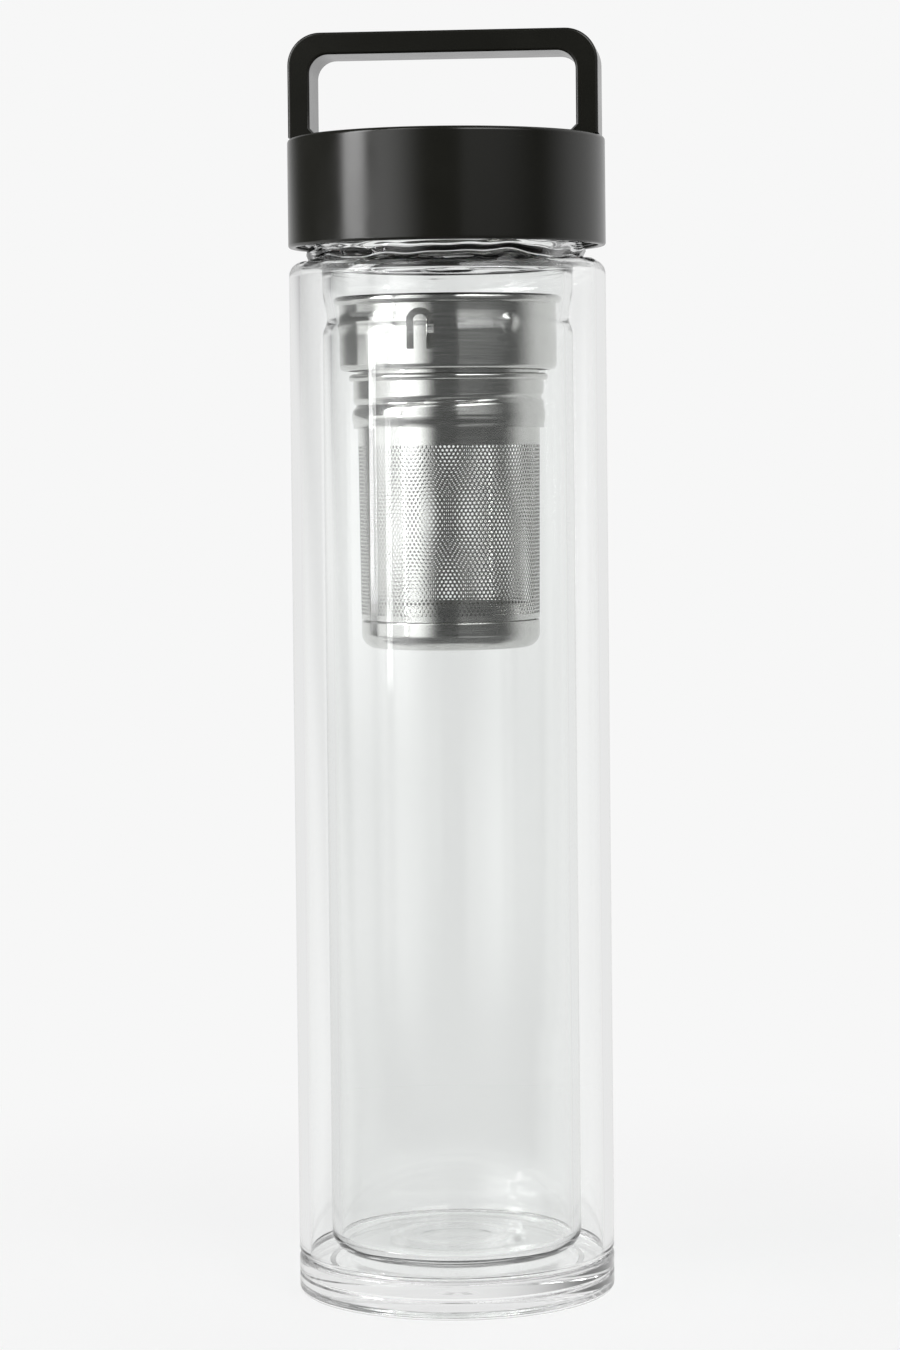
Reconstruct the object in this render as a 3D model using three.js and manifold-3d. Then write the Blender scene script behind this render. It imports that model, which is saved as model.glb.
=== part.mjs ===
// A double-walled glass tea flask: the glass body, a screw cap with a loop handle, and a steel
// infuser whose basket screws off under its collar.
// Lengths are in millimetres. Z is up from the surface that the flask stands on, and the handle
// runs along X. Azimuths are turned from -Y towards +X.

import * as THREE from 'three';
import { mergeVertices } from 'three/addons/utils/BufferGeometryUtils.js';
import Module from 'manifold-3d';

const wasm = await Module();
wasm.setup();

// Fits
const JOIN_GAP = 0.3; // between pieces that are fused, pressed or clamped together
const THREAD_CLEARANCE = 0.4; // of the cap's thread, across and along the flanks
const SCREW_CLEARANCE = 0.3; // of the rolled thread between the collar and the basket

// Glass body
const BODY_DIAMETER = 67;
const BODY_HEIGHT = 218.2; // up to the top of the shoulder
const OUTER_WALL = 2.2;
const WALL_SPACE = 4.8; // air between the two walls
const SHOULDER_RADIUS = 3.2;
const LINER_WALL = 1.8;
const LINER_FLOOR = 2.1;
const LINER_FLOOR_SPACE = 0.9; // air under the liner's floor
const LINER_CORNER_RADIUS = 6;
const NECK_STEP = 2.5; // from the liner's side out to the neck's side
const NECK_WALL = 3.4;
const NECK_HEIGHT = 19.9; // above the shoulder
const NECK_FLARE_HEIGHT = 2.5;
const MOUTH_RADIUS = 1.2;
const PINCH_DROP = 12.4; // from the shoulder's top down to the narrowest place of the pinch
const PINCH_DEPTH = 0.9;
const PINCH_RUN_UP = 6.5;
const PINCH_RUN_DOWN = 3.5;
const BASE_HEIGHT = 8;
const BASE_EDGE_RADIUS = 1.2;
const FOOT_WIDTH = 7; // of the flat ring that the flask stands on
const FOOT_RECESS = 0.8;
const SEAL_TIP_DIAMETER = 6;
const SEAL_TIP_LENGTH = 5;
const SEAL_TIP_ROUNDING = 1.8;

// Thread of the neck and the cap
const THREAD_DEPTH = 1.3;
const THREAD_LEAD = 6;
const THREAD_TURNS = 1.25;
const THREAD_ROOT_WIDTH = 2.4;
const THREAD_CREST_WIDTH = 1;
const THREAD_START = 5.5; // above the shoulder, at the middle of the ridge
const THREAD_ANCHOR = 0.5; // how deep a ridge is rooted in its wall
const CAP_THREAD_TURN = 0.25; // of a turn, by which the cap's ridge starts after the neck's

// Cap
const CAP_SHELL_WALL = 1.6;
const CAP_SHELL_TOP = 2;
const CAP_EDGE_RADIUS = 0.8;
const CAP_LIFT_OFF = 2.8; // between the shoulder and the cap's lower edge
const CAP_LINER_WALL = 1;
const CAP_LINER_INSET = 0.6; // of the liner's lower edge above the shell's
const CAP_PLATE = 1.5;
const SEAL_THICKNESS = 1.5;
const SEAL_EDGE_RADIUS = 0.4;

// Handle
const HANDLE_HEIGHT = 22.1; // above the cap
const HANDLE_DEPTH = 15.5;
const HANDLE_THICKNESS = 4.4;
const HANDLE_OUTER_RADIUS = 6.9;
const HANDLE_INNER_RADIUS = 4;
const HANDLE_EDGE = 0.7;
const TENON_WIDTH = 2.4;
const TENON_DEPTH = 10;

// Infuser
const SHEET = 0.6;
const RIM_CLEARANCE = 0.55; // between the rolled rim and the liner
const RIM_ROLL_RADIUS = 0.95;
const COLLAR_CLEARANCE = 0.8; // between the collar's wall and the pinch
const COLLAR_HEIGHT = 15.8;
const COLLAR_CORNER_RADIUS = 1.2;
const COLLAR_LIP = 1.2; // turned in under the spigot's flange
const BEAD_DROP = 5.5; // from the collar's top to the bead's middle
const BEAD_HEIGHT = 3.6;
const BEAD_DEPTH = 0.25;
const DIMPLE_COUNT = 3;
const DIMPLE_DIAMETER = 4;
const DIMPLE_HEIGHT = 0.45;
const DIMPLE_BROW = [0.6, 0.75]; // shares of radius and height where the dome turns over
const DIMPLE_AZIMUTH = 37.5; // degrees, of the first one
const TONGUE_COUNT = 3;
const TONGUE_WIDTH = 2.6;
const TONGUE_SLOT = 1.5;
const TONGUE_LENGTH = 8.6; // with the slot round its end
const TONGUE_DROP = 3; // from the collar's top to the slot's top
const TONGUE_AZIMUTH = -8.5; // degrees, of the first one
const RING_STEP = 2.8; // from the collar's side in to the basket ring's side
const RING_GAP = 0.7; // between the collar and the basket ring
const RING_HEIGHT = 11.4;
const RING_ROLL_RADIUS = 0.75;
const RING_ROLL_OVERHANG = 0.9; // of the rolled edge past the ring's side
const RING_ROLL_END = 162; // degrees, where the roll comes back to the ring's wall
const SCREW_LEAD = 3.6;
const SCREW_DEPTH = 0.6;
const SCREW_REACH = 1.1; // from the middle of the groove to its edge
const SCREW_TURNS = 1.1;
const SCREW_FADE = 0.15; // of a turn, over which an end of the groove runs out
const SCREW_DROP = 5.9; // from the ring's top to the groove's middle at the front
const SPIGOT_LENGTH = 9.3; // below the collar
const STRAINER_HOLE = 3.2;
const STRAINER_PITCH = 6.6;
const STRAINER_RINGS = 2;
const MESH_HEIGHT = 42.7;
const MESH_TAPER = 0.4; // by which the radius is less at the bottom
const MESH_TOP_BAND = 5.7;
const MESH_BOTTOM_BAND = 2.4;
const MESH_COLUMNS = 24;
const MESH_ROWS = 8;
const MESH_HOLE_SHARE = 0.8; // of a cell, between opposite corners of its hole
const CUP_BAND = 5.8; // of the cup that shows below the mesh
const CUP_UPSTAND = 3;
const CUP_CORNER_RADIUS = 3;

// Facets
const SEGMENTS = 28;
const FILLET_STEPS = 3;
const ROLL_STEPS = 6;
const SCREW_ROWS = 11;
const THREAD_STEPS = 24; // to a turn
const FILLET_ROOM = 0.95; // share of an edge that a rounding at one end may take
const SHARED_FILLET_ROOM = 0.48; // the same with a rounding at the other end too
const MERGE_DISTANCE = 1e-4;

// Radii and heights that follow from the sizes above
const bodyRadius = BODY_DIAMETER / 2;
const outerBore = bodyRadius - OUTER_WALL;
const linerRadius = outerBore - WALL_SPACE;
const linerBore = linerRadius - LINER_WALL;
const neckRadius = linerRadius + NECK_STEP;
const neckBore = neckRadius - NECK_WALL;
const mouthHeight = BODY_HEIGHT + NECK_HEIGHT;
const linerFloorUnder = BASE_HEIGHT + LINER_FLOOR_SPACE;
const linerFloorTop = linerFloorUnder + LINER_FLOOR;
const pinchHeight = BODY_HEIGHT - PINCH_DROP;

const sealUnder = mouthHeight + JOIN_GAP;
const sealTop = sealUnder + SEAL_THICKNESS;
const capLinerBore = neckRadius + THREAD_DEPTH + THREAD_CLEARANCE;
const capLinerRadius = capLinerBore + CAP_LINER_WALL;
const capPlateUnder = sealTop + JOIN_GAP;
const capPlateTop = capPlateUnder + CAP_PLATE;
const capShellBore = capLinerRadius + JOIN_GAP;
const capRadius = capShellBore + CAP_SHELL_WALL;
const capBottom = BODY_HEIGHT + CAP_LIFT_OFF;
const capTop = capPlateTop + JOIN_GAP + CAP_SHELL_TOP;

const handleFoot = capTop + JOIN_GAP;
const handleWidth = 2 * Math.sqrt(capRadius ** 2 - (HANDLE_DEPTH / 2) ** 2);
const handleLegX = handleWidth / 2 - HANDLE_THICKNESS / 2;

const pinchBore = linerBore - PINCH_DEPTH;
const collarRadius = pinchBore - COLLAR_CLEARANCE;
const collarBore = collarRadius - SHEET;
const rimRadius = linerBore - RIM_CLEARANCE;
const rimCentreRadius = rimRadius - RIM_ROLL_RADIUS;
const rimCentreHeight = seatOnPinch(rimCentreRadius, RIM_ROLL_RADIUS + JOIN_GAP);
const collarTop = rimCentreHeight + RIM_ROLL_RADIUS;
const collarBottom = collarTop - COLLAR_HEIGHT;
const beadHeight = collarTop - BEAD_DROP;

const ringRadius = collarRadius - RING_STEP;
const ringBore = ringRadius - SHEET;
const ringTop = collarBottom - RING_GAP;
const ringBottom = ringTop - RING_HEIGHT;
const screwHeight = ringTop - SCREW_DROP;
const spigotRadius = ringBore - SCREW_CLEARANCE;
const spigotBottom = collarBottom - SPIGOT_LENGTH;
const spigotFlangeUnder = collarBottom + SHEET + JOIN_GAP;
const spigotFlangeTop = spigotFlangeUnder + SHEET;
const meshTopRadius = ringBore - JOIN_GAP;
const meshTop = spigotBottom - JOIN_GAP;
const meshBottom = meshTop - MESH_HEIGHT;
const cupRadius = meshTopRadius - MESH_TAPER;
const cupTop = meshBottom - JOIN_GAP;
const cupBottom = cupTop - CUP_BAND;

const materials = {
  glass: new THREE.MeshStandardMaterial({
    color: 0xe8eeec, roughness: 0.03, metalness: 0, transparent: true, opacity: 0.35,
  }),
  blackPlastic: new THREE.MeshStandardMaterial({ color: 0x20201b, roughness: 0.38, metalness: 0 }),
  linerPlastic: new THREE.MeshStandardMaterial({ color: 0x2a2a26, roughness: 0.5, metalness: 0 }),
  silicone: new THREE.MeshStandardMaterial({ color: 0xdad9d2, roughness: 0.6, metalness: 0 }),
  steel: new THREE.MeshStandardMaterial({ color: 0xb9b9b5, roughness: 0.25, metalness: 1 }),
};

// How far the liner's wall is drawn in at a height, by the ring pinch that carries the infuser.
function pinchOffset(height) {
  const rise = height - pinchHeight;
  const run = rise > 0 ? PINCH_RUN_UP : PINCH_RUN_DOWN;
  if (Math.abs(rise) >= run) {
    return 0;
  }
  return PINCH_DEPTH * Math.cos((Math.PI / 2) * (rise / run)) ** 2;
}

function pinchHeights() {
  const stepsDown = 2;
  const stepsUp = 4;
  const heights = [];
  for (let step = stepsDown; step > 0; step -= 1) {
    heights.push(pinchHeight - (PINCH_RUN_DOWN * step) / stepsDown);
  }
  for (let step = 0; step <= stepsUp; step += 1) {
    heights.push(pinchHeight + (PINCH_RUN_UP * step) / stepsUp);
  }
  return heights;
}

// The height at which a ring of round section comes to rest on the pinch.
function seatOnPinch(ringCentreRadius, reach) {
  const seats = pinchHeights().map((height) => {
    const across = linerBore - pinchOffset(height) - ringCentreRadius;
    return across < reach ? height + Math.sqrt(reach ** 2 - across ** 2) : -Infinity;
  });
  return Math.max(...seats);
}

// The points of one corner of an outline, rounded where it has a radius. The rounding takes no
// more of an edge than is free beside the corner at its other end.
function cornerPoints(before, corner, after) {
  const [, , radius = 0] = corner;
  const middle = new THREE.Vector2(corner[0], corner[1]);
  if (radius === 0) {
    return [middle];
  }
  const toBefore = new THREE.Vector2(before[0], before[1]).sub(middle);
  const toAfter = new THREE.Vector2(after[0], after[1]).sub(middle);
  const shareBefore = before[2] ? SHARED_FILLET_ROOM : FILLET_ROOM;
  const shareAfter = after[2] ? SHARED_FILLET_ROOM : FILLET_ROOM;
  const room = Math.min(toBefore.length() * shareBefore, toAfter.length() * shareAfter);
  toBefore.normalize();
  toAfter.normalize();
  const halfAngle = Math.acos(toBefore.dot(toAfter)) / 2;
  const tangent = Math.min(radius / Math.tan(halfAngle), room);
  const bisector = toBefore.clone().add(toAfter).normalize();
  const centre = bisector.multiplyScalar(tangent / Math.cos(halfAngle)).add(middle);
  const start = toBefore.multiplyScalar(tangent).add(middle).sub(centre);
  const end = toAfter.multiplyScalar(tangent).add(middle).sub(centre);
  const sweep = Math.atan2(start.cross(end), start.dot(end));
  const points = [];
  for (let step = 0; step <= FILLET_STEPS; step += 1) {
    const turned = start.clone().rotateAround(new THREE.Vector2(), (sweep * step) / FILLET_STEPS);
    points.push(turned.add(centre));
  }
  return points;
}

// A closed outline through corners given as [across, up, radius of rounding].
function closedOutline(corners) {
  const count = corners.length;
  const points = corners.flatMap((corner, index) => {
    const before = corners[(index + count - 1) % count];
    return cornerPoints(before, corner, corners[(index + 1) % count]);
  });
  points.push(points[0].clone());
  return points;
}

// An outline that starts and ends on the axis.
function axisOutline(corners) {
  const last = corners.length - 1;
  return corners.flatMap((corner, index) => {
    if (index === 0 || index === last) {
      return [new THREE.Vector2(corner[0], corner[1])];
    }
    return cornerPoints(corners[index - 1], corner, corners[index + 1]);
  });
}

function arcPoints(centreX, centreY, radius, fromAngle, toAngle, steps) {
  const points = [];
  for (let step = 0; step <= steps; step += 1) {
    const angle = fromAngle + ((toAngle - fromAngle) * step) / steps;
    const x = centreX + radius * Math.cos(angle);
    points.push(new THREE.Vector2(x, centreY + radius * Math.sin(angle)));
  }
  return points;
}

// A solid of revolution about Z from an outline that runs counterclockwise, radius across.
function revolve(outline, segments = SEGMENTS) {
  return new THREE.LatheGeometry(outline, segments).rotateX(Math.PI / 2);
}

function atAzimuth(radius, azimuth, height) {
  return new THREE.Vector3(radius * Math.sin(azimuth), -radius * Math.cos(azimuth), height);
}

function fromTriangles(corners) {
  const geometry = new THREE.BufferGeometry().setFromPoints(corners);
  geometry.computeVertexNormals();
  return geometry;
}

// A solid swept about Z through sections of equal length, each a counterclockwise loop of points.
function sweep(sections, isRing) {
  const corners = [];
  const size = sections[0].length;
  const spans = isRing ? sections.length : sections.length - 1;
  for (let span = 0; span < spans; span += 1) {
    const near = sections[span];
    const far = sections[(span + 1) % sections.length];
    for (let point = 0; point < size; point += 1) {
      const next = (point + 1) % size;
      corners.push(near[point], far[point], far[next]);
      corners.push(near[point], far[next], near[next]);
    }
  }
  if (!isRing) {
    const first = sections[0];
    const last = sections[sections.length - 1];
    for (let point = 1; point < size - 1; point += 1) {
      corners.push(first[0], first[point], first[point + 1]);
      corners.push(last[0], last[point + 1], last[point]);
    }
  }
  return fromTriangles(corners);
}

// A solid that can be joined and cut, from a closed geometry.
function toSolid(geometry) {
  const bare = geometry.clone();
  bare.deleteAttribute('normal');
  bare.deleteAttribute('uv');
  const merged = mergeVertices(bare, MERGE_DISTANCE);
  const index = merged.index.array;
  const triVerts = [];
  for (let start = 0; start < index.length; start += 3) {
    const [a, b, c] = index.slice(start, start + 3);
    if (a !== b && b !== c && c !== a) {
      triVerts.push(a, b, c);
    }
  }
  return new wasm.Manifold(new wasm.Mesh({
    numProp: 3,
    vertProperties: new Float32Array(merged.attributes.position.array),
    triVerts: new Uint32Array(triVerts),
  }));
}

function toGeometry(solid) {
  const mesh = solid.getMesh();
  const geometry = new THREE.BufferGeometry();
  geometry.setAttribute('position', new THREE.BufferAttribute(mesh.vertProperties, 3));
  geometry.setIndex(new THREE.BufferAttribute(mesh.triVerts, 1));
  geometry.computeVertexNormals();
  return geometry;
}

// Share of a smooth hump that is 1 in the middle and 0 from its reach on.
function hump(distance, reach) {
  return Math.abs(distance) < reach ? Math.cos((Math.PI / 2) * (distance / reach)) ** 2 : 0;
}

// A helical ridge that stands from one radius to another, with its ends tapered off. Its middle
// runs up the thread's helix, lowered by a drop, from one turn to another.
function threadRidge(rootRadius, crestRadius, fromTurn, toTurn, drop) {
  const taperSteps = 3;
  const steps = Math.round((toTurn - fromTurn) * THREAD_STEPS);
  const outward = crestRadius > rootRadius;
  const sections = [];
  for (let step = 0; step <= steps; step += 1) {
    const turn = fromTurn + ((toTurn - fromTurn) * step) / steps;
    const azimuth = turn * 2 * Math.PI;
    const height = BODY_HEIGHT + THREAD_START + THREAD_LEAD * turn - drop;
    const share = Math.min(1, (step + 1) / taperSteps, (steps - step + 1) / taperSteps);
    const crest = rootRadius + (crestRadius - rootRadius) * share;
    const anchor = rootRadius + (outward ? -THREAD_ANCHOR : THREAD_ANCHOR);
    const section = [
      atAzimuth(anchor, azimuth, height - THREAD_ROOT_WIDTH / 2),
      atAzimuth(rootRadius, azimuth, height - THREAD_ROOT_WIDTH / 2),
      atAzimuth(crest, azimuth, height - THREAD_CREST_WIDTH / 2),
      atAzimuth(crest, azimuth, height + THREAD_CREST_WIDTH / 2),
      atAzimuth(rootRadius, azimuth, height + THREAD_ROOT_WIDTH / 2),
      atAzimuth(anchor, azimuth, height + THREAD_ROOT_WIDTH / 2),
    ];
    sections.push(outward ? section : section.reverse());
  }
  return sweep(sections, false);
}

function makeOuterGlass() {
  const shoulderBore = neckRadius + JOIN_GAP;
  const bottom = BASE_HEIGHT + JOIN_GAP;
  return revolve(closedOutline([
    [outerBore, bottom],
    [bodyRadius, bottom],
    [bodyRadius, BODY_HEIGHT, SHOULDER_RADIUS],
    [shoulderBore, BODY_HEIGHT],
    [shoulderBore, BODY_HEIGHT - OUTER_WALL],
    [outerBore, BODY_HEIGHT - OUTER_WALL],
  ]));
}

function makeInnerGlass() {
  const flareTop = BODY_HEIGHT - OUTER_WALL;
  const flareBottom = flareTop - NECK_FLARE_HEIGHT;
  const heights = pinchHeights();
  const outside = heights.map((height) => [linerRadius - pinchOffset(height), height]);
  const inside = heights.map((height) => [linerBore - pinchOffset(height), height]).reverse();
  const innerCorner = Math.max(LINER_CORNER_RADIUS - LINER_WALL, LINER_WALL);
  const body = revolve(axisOutline([
    [0, linerFloorUnder],
    [linerRadius, linerFloorUnder, LINER_CORNER_RADIUS],
    ...outside,
    [linerRadius, flareBottom],
    [neckRadius, flareTop],
    [neckRadius, mouthHeight, MOUTH_RADIUS],
    [neckBore, mouthHeight, MOUTH_RADIUS],
    [neckBore, flareTop],
    [linerBore, flareBottom],
    ...inside,
    [linerBore, linerFloorTop, innerCorner],
    [0, linerFloorTop],
  ]));
  const ridge = threadRidge(neckRadius, neckRadius + THREAD_DEPTH, 0, THREAD_TURNS, 0);
  return toGeometry(toSolid(body).add(toSolid(ridge)));
}

function makeGlassBase() {
  const bore = SEAL_TIP_DIAMETER / 2 + JOIN_GAP;
  const recessRadius = bodyRadius - FOOT_WIDTH;
  return revolve(closedOutline([
    [bore, FOOT_RECESS],
    [recessRadius, FOOT_RECESS],
    [recessRadius, 0],
    [bodyRadius, 0, BASE_EDGE_RADIUS],
    [bodyRadius, BASE_HEIGHT],
    [bore, BASE_HEIGHT],
  ]));
}

// A drop of glass that closes the hole in the base, flush with the base's top.
function makeBaseSealTip() {
  const radius = SEAL_TIP_DIAMETER / 2;
  const tipBottom = BASE_HEIGHT - SEAL_TIP_LENGTH;
  return revolve(axisOutline([
    [0, tipBottom],
    [radius, tipBottom, SEAL_TIP_ROUNDING],
    [radius, BASE_HEIGHT],
    [0, BASE_HEIGHT],
  ]), SEGMENTS / 2);
}

function makeCapShell() {
  const under = capTop - CAP_SHELL_TOP;
  const shell = toSolid(revolve(axisOutline([
    [0, under],
    [capShellBore, under],
    [capShellBore, capBottom],
    [capRadius, capBottom],
    [capRadius, capTop, CAP_EDGE_RADIUS],
    [0, capTop],
  ])));
  const slotWidth = TENON_WIDTH + 2 * JOIN_GAP;
  const slotDepth = TENON_DEPTH + 2 * JOIN_GAP;
  const slots = [-1, 1].map((side) => {
    const slot = new THREE.BoxGeometry(slotWidth, slotDepth, 3 * CAP_SHELL_TOP);
    return toSolid(slot.translate(side * handleLegX, 0, capTop - CAP_SHELL_TOP / 2));
  });
  return toGeometry(slots.reduce((solid, slot) => solid.subtract(slot), shell));
}

function makeCarryHandle() {
  const half = handleWidth / 2;
  const innerHalf = half - HANDLE_THICKNESS;
  const inner = HANDLE_HEIGHT - JOIN_GAP - HANDLE_THICKNESS;
  const top = HANDLE_HEIGHT - JOIN_GAP;
  const outline = closedOutline([
    [-half, 0],
    [-innerHalf, 0],
    [-innerHalf, inner, HANDLE_INNER_RADIUS],
    [innerHalf, inner, HANDLE_INNER_RADIUS],
    [innerHalf, 0],
    [half, 0],
    [half, top, HANDLE_OUTER_RADIUS],
    [-half, top, HANDLE_OUTER_RADIUS],
  ]);
  const loop = new THREE.ExtrudeGeometry(new THREE.Shape(outline), {
    depth: HANDLE_DEPTH - 2 * HANDLE_EDGE,
    bevelThickness: HANDLE_EDGE,
    bevelSize: HANDLE_EDGE,
    bevelOffset: -HANDLE_EDGE,
    bevelSegments: 1,
  });
  loop.rotateX(Math.PI / 2);
  loop.translate(0, HANDLE_DEPTH / 2 - HANDLE_EDGE, handleFoot);
  const tenonBottom = capTop - CAP_SHELL_TOP + JOIN_GAP;
  const tenonTop = handleFoot + HANDLE_THICKNESS / 2;
  const tenons = [-1, 1].map((side) => {
    const tenon = new THREE.BoxGeometry(TENON_WIDTH, TENON_DEPTH, tenonTop - tenonBottom);
    return toSolid(tenon.translate(side * handleLegX, 0, (tenonTop + tenonBottom) / 2));
  });
  return toGeometry(tenons.reduce((solid, tenon) => solid.add(tenon), toSolid(loop)));
}

// The liner's ridge runs just below the neck's, which it presses against when the cap is tight.
function makeCapLiner() {
  const bottom = capBottom + CAP_LINER_INSET;
  const body = revolve(closedOutline([
    [capLinerBore, bottom],
    [capLinerRadius, bottom],
    [capLinerRadius, sealTop],
    [capLinerBore, sealTop],
  ]));
  const flankSlope = (THREAD_ROOT_WIDTH - THREAD_CREST_WIDTH) / 2 / THREAD_DEPTH;
  const flankSum = THREAD_ROOT_WIDTH - flankSlope * (THREAD_DEPTH + THREAD_CLEARANCE);
  const drop = flankSum + THREAD_CLEARANCE;
  const crest = capLinerBore - THREAD_DEPTH;
  const lastTurn = CAP_THREAD_TURN + THREAD_TURNS;
  const ridge = threadRidge(capLinerBore, crest, CAP_THREAD_TURN, lastTurn, drop);
  return toGeometry(toSolid(body).add(toSolid(ridge)));
}

// The plate that closes the liner and backs the seal.
function makeCapPlate() {
  return revolve(axisOutline([
    [0, capPlateUnder],
    [capLinerRadius, capPlateUnder],
    [capLinerRadius, capPlateTop],
    [0, capPlateTop],
  ]));
}

function makeCapSeal() {
  const radius = capLinerBore - JOIN_GAP;
  return revolve(closedOutline([
    [neckBore, sealUnder],
    [radius, sealUnder, SEAL_EDGE_RADIUS],
    [radius, sealTop],
    [neckBore, sealTop],
  ]));
}

// The dome of a pressed dimple, standing on -Y at a radius and rooted some way inside it.
function dimpleDome(baseRadius, radius, depth) {
  const sides = 12;
  const dome = new THREE.LatheGeometry([
    new THREE.Vector2(0, -depth),
    new THREE.Vector2(radius, -depth),
    new THREE.Vector2(radius, 0),
    new THREE.Vector2(radius * DIMPLE_BROW[0], DIMPLE_HEIGHT * DIMPLE_BROW[1]),
    new THREE.Vector2(0, DIMPLE_HEIGHT),
  ], sides);
  return dome.rotateX(Math.PI).translate(0, -baseRadius, 0);
}

// The inverted U that is cut round a spring tongue, through the collar's wall on -Y.
function tongueSlot() {
  const inner = TONGUE_WIDTH / 2;
  const outer = inner + TONGUE_SLOT;
  const straight = TONGUE_LENGTH - outer;
  const outline = new THREE.Shape([
    new THREE.Vector2(outer, 0),
    ...arcPoints(0, straight, outer, 0, Math.PI, ROLL_STEPS),
    new THREE.Vector2(-outer, 0),
    new THREE.Vector2(-inner, 0),
    ...arcPoints(0, straight, inner, Math.PI, 0, ROLL_STEPS / 2),
    new THREE.Vector2(inner, 0),
  ]);
  const depth = 4 * (SHEET + BEAD_DEPTH);
  const cut = new THREE.ExtrudeGeometry(outline, { depth, bevelEnabled: false });
  cut.rotateX(Math.PI / 2);
  return cut.translate(0, depth / 2 - collarRadius, collarTop - TONGUE_DROP - TONGUE_LENGTH);
}

// Copies of a geometry, set evenly about Z from a first azimuth in degrees.
function aroundAxis(geometry, count, firstAzimuth) {
  const copies = [];
  for (let copy = 0; copy < count; copy += 1) {
    const azimuth = THREE.MathUtils.degToRad(firstAzimuth + (360 * copy) / count);
    copies.push(toSolid(geometry.clone().rotateZ(azimuth)));
  }
  return copies;
}

function makeInfuserCollar() {
  const lipBore = collarBore - COLLAR_LIP;
  const beadShares = [-1, 0, 1];
  const beadOutside = beadShares.map((share) => {
    const bulge = BEAD_DEPTH * hump(share, 1);
    return [collarRadius + bulge, beadHeight + (share * BEAD_HEIGHT) / 2];
  });
  const beadInside = beadOutside.map(([radius, height]) => [radius - SHEET, height]).reverse();
  const outerDip = Math.acos((collarRadius - rimCentreRadius) / RIM_ROLL_RADIUS);
  const innerDip = Math.acos((collarBore - rimCentreRadius) / RIM_ROLL_RADIUS);
  const roll = arcPoints(
    rimCentreRadius, rimCentreHeight, RIM_ROLL_RADIUS, -outerDip, 2 * Math.PI - innerDip, ROLL_STEPS,
  );
  const body = revolve(closedOutline([
    [lipBore, collarBottom],
    [collarRadius, collarBottom, COLLAR_CORNER_RADIUS],
    ...beadOutside,
    ...roll.map((point) => [point.x, point.y]),
    ...beadInside,
    [collarBore, collarBottom + SHEET, COLLAR_CORNER_RADIUS - SHEET],
    [lipBore, collarBottom + SHEET],
  ]));
  const dome = dimpleDome(collarRadius, DIMPLE_DIAMETER / 2, SHEET / 2);
  const hollow = dimpleDome(collarBore, DIMPLE_DIAMETER / 2 - SHEET, 2 * SHEET);
  dome.translate(0, 0, beadHeight);
  hollow.translate(0, 0, beadHeight);
  let collar = toSolid(body);
  aroundAxis(dome, DIMPLE_COUNT, DIMPLE_AZIMUTH).forEach((solid) => {
    collar = collar.add(solid);
  });
  aroundAxis(hollow, DIMPLE_COUNT, DIMPLE_AZIMUTH).forEach((solid) => {
    collar = collar.subtract(solid);
  });
  aroundAxis(tongueSlot(), TONGUE_COUNT, TONGUE_AZIMUTH).forEach((solid) => {
    collar = collar.subtract(solid);
  });
  return toGeometry(collar);
}

function roundPoints(centreX, centreY, radius, sides) {
  return arcPoints(centreX, centreY, radius, 0, 2 * Math.PI, sides).slice(0, -1);
}

// A disc with rings of holes, which keeps the leaves in the basket while the tea is drunk.
function makeStrainerPlate() {
  const holeSides = 6;
  const disc = new THREE.Shape(roundPoints(0, 0, collarBore - JOIN_GAP, SEGMENTS));
  disc.holes.push(new THREE.Path(roundPoints(0, 0, STRAINER_HOLE / 2, holeSides)));
  for (let ring = 1; ring <= STRAINER_RINGS; ring += 1) {
    const count = holeSides * ring;
    roundPoints(0, 0, ring * STRAINER_PITCH, count).forEach((centre) => {
      const hole = roundPoints(centre.x, centre.y, STRAINER_HOLE / 2, holeSides);
      disc.holes.push(new THREE.Path(hole));
    });
  }
  const plate = new THREE.ExtrudeGeometry(disc, { depth: SHEET, bevelEnabled: false });
  return plate.translate(0, 0, spigotFlangeTop + JOIN_GAP);
}

// How far the rolled thread draws a wall in, at an azimuth and a height. The groove's middle climbs
// the helix from one turn to another, counted from the front, and runs out at its ends.
function screwOffset(azimuth, height, fromTurn, toTurn, reach) {
  const frontTurn = azimuth / (2 * Math.PI);
  let offset = 0;
  for (let lap = -3; lap <= 3; lap += 1) {
    const turn = frontTurn + lap;
    const outside = Math.max(fromTurn - turn, turn - toTurn, 0);
    const distance = height - screwHeight - SCREW_LEAD * turn;
    offset += SCREW_DEPTH * hump(outside, SCREW_FADE) * hump(distance, reach);
  }
  return offset;
}

// A thin ring with a rolled thread. The section of its wall is given by its foot, its top and what
// stands on its top, as points from the outside round to the inside.
function screwRing(radius, foot, top, head, offsetAt) {
  const sections = [];
  for (let segment = 0; segment < SEGMENTS; segment += 1) {
    const azimuth = (2 * Math.PI * segment) / SEGMENTS;
    const outside = [];
    const inside = [];
    for (let row = 0; row <= SCREW_ROWS; row += 1) {
      const height = foot + ((top - foot) * row) / SCREW_ROWS;
      const wall = radius - offsetAt(azimuth, height);
      outside.push(atAzimuth(wall, azimuth, height));
      inside.push(atAzimuth(wall - SHEET, azimuth, height));
    }
    const headPoints = head.map((point) => atAzimuth(point.x, azimuth, point.y));
    sections.push([...outside, ...headPoints, ...inside.reverse()]);
  }
  return sweep(sections, true);
}

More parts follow.
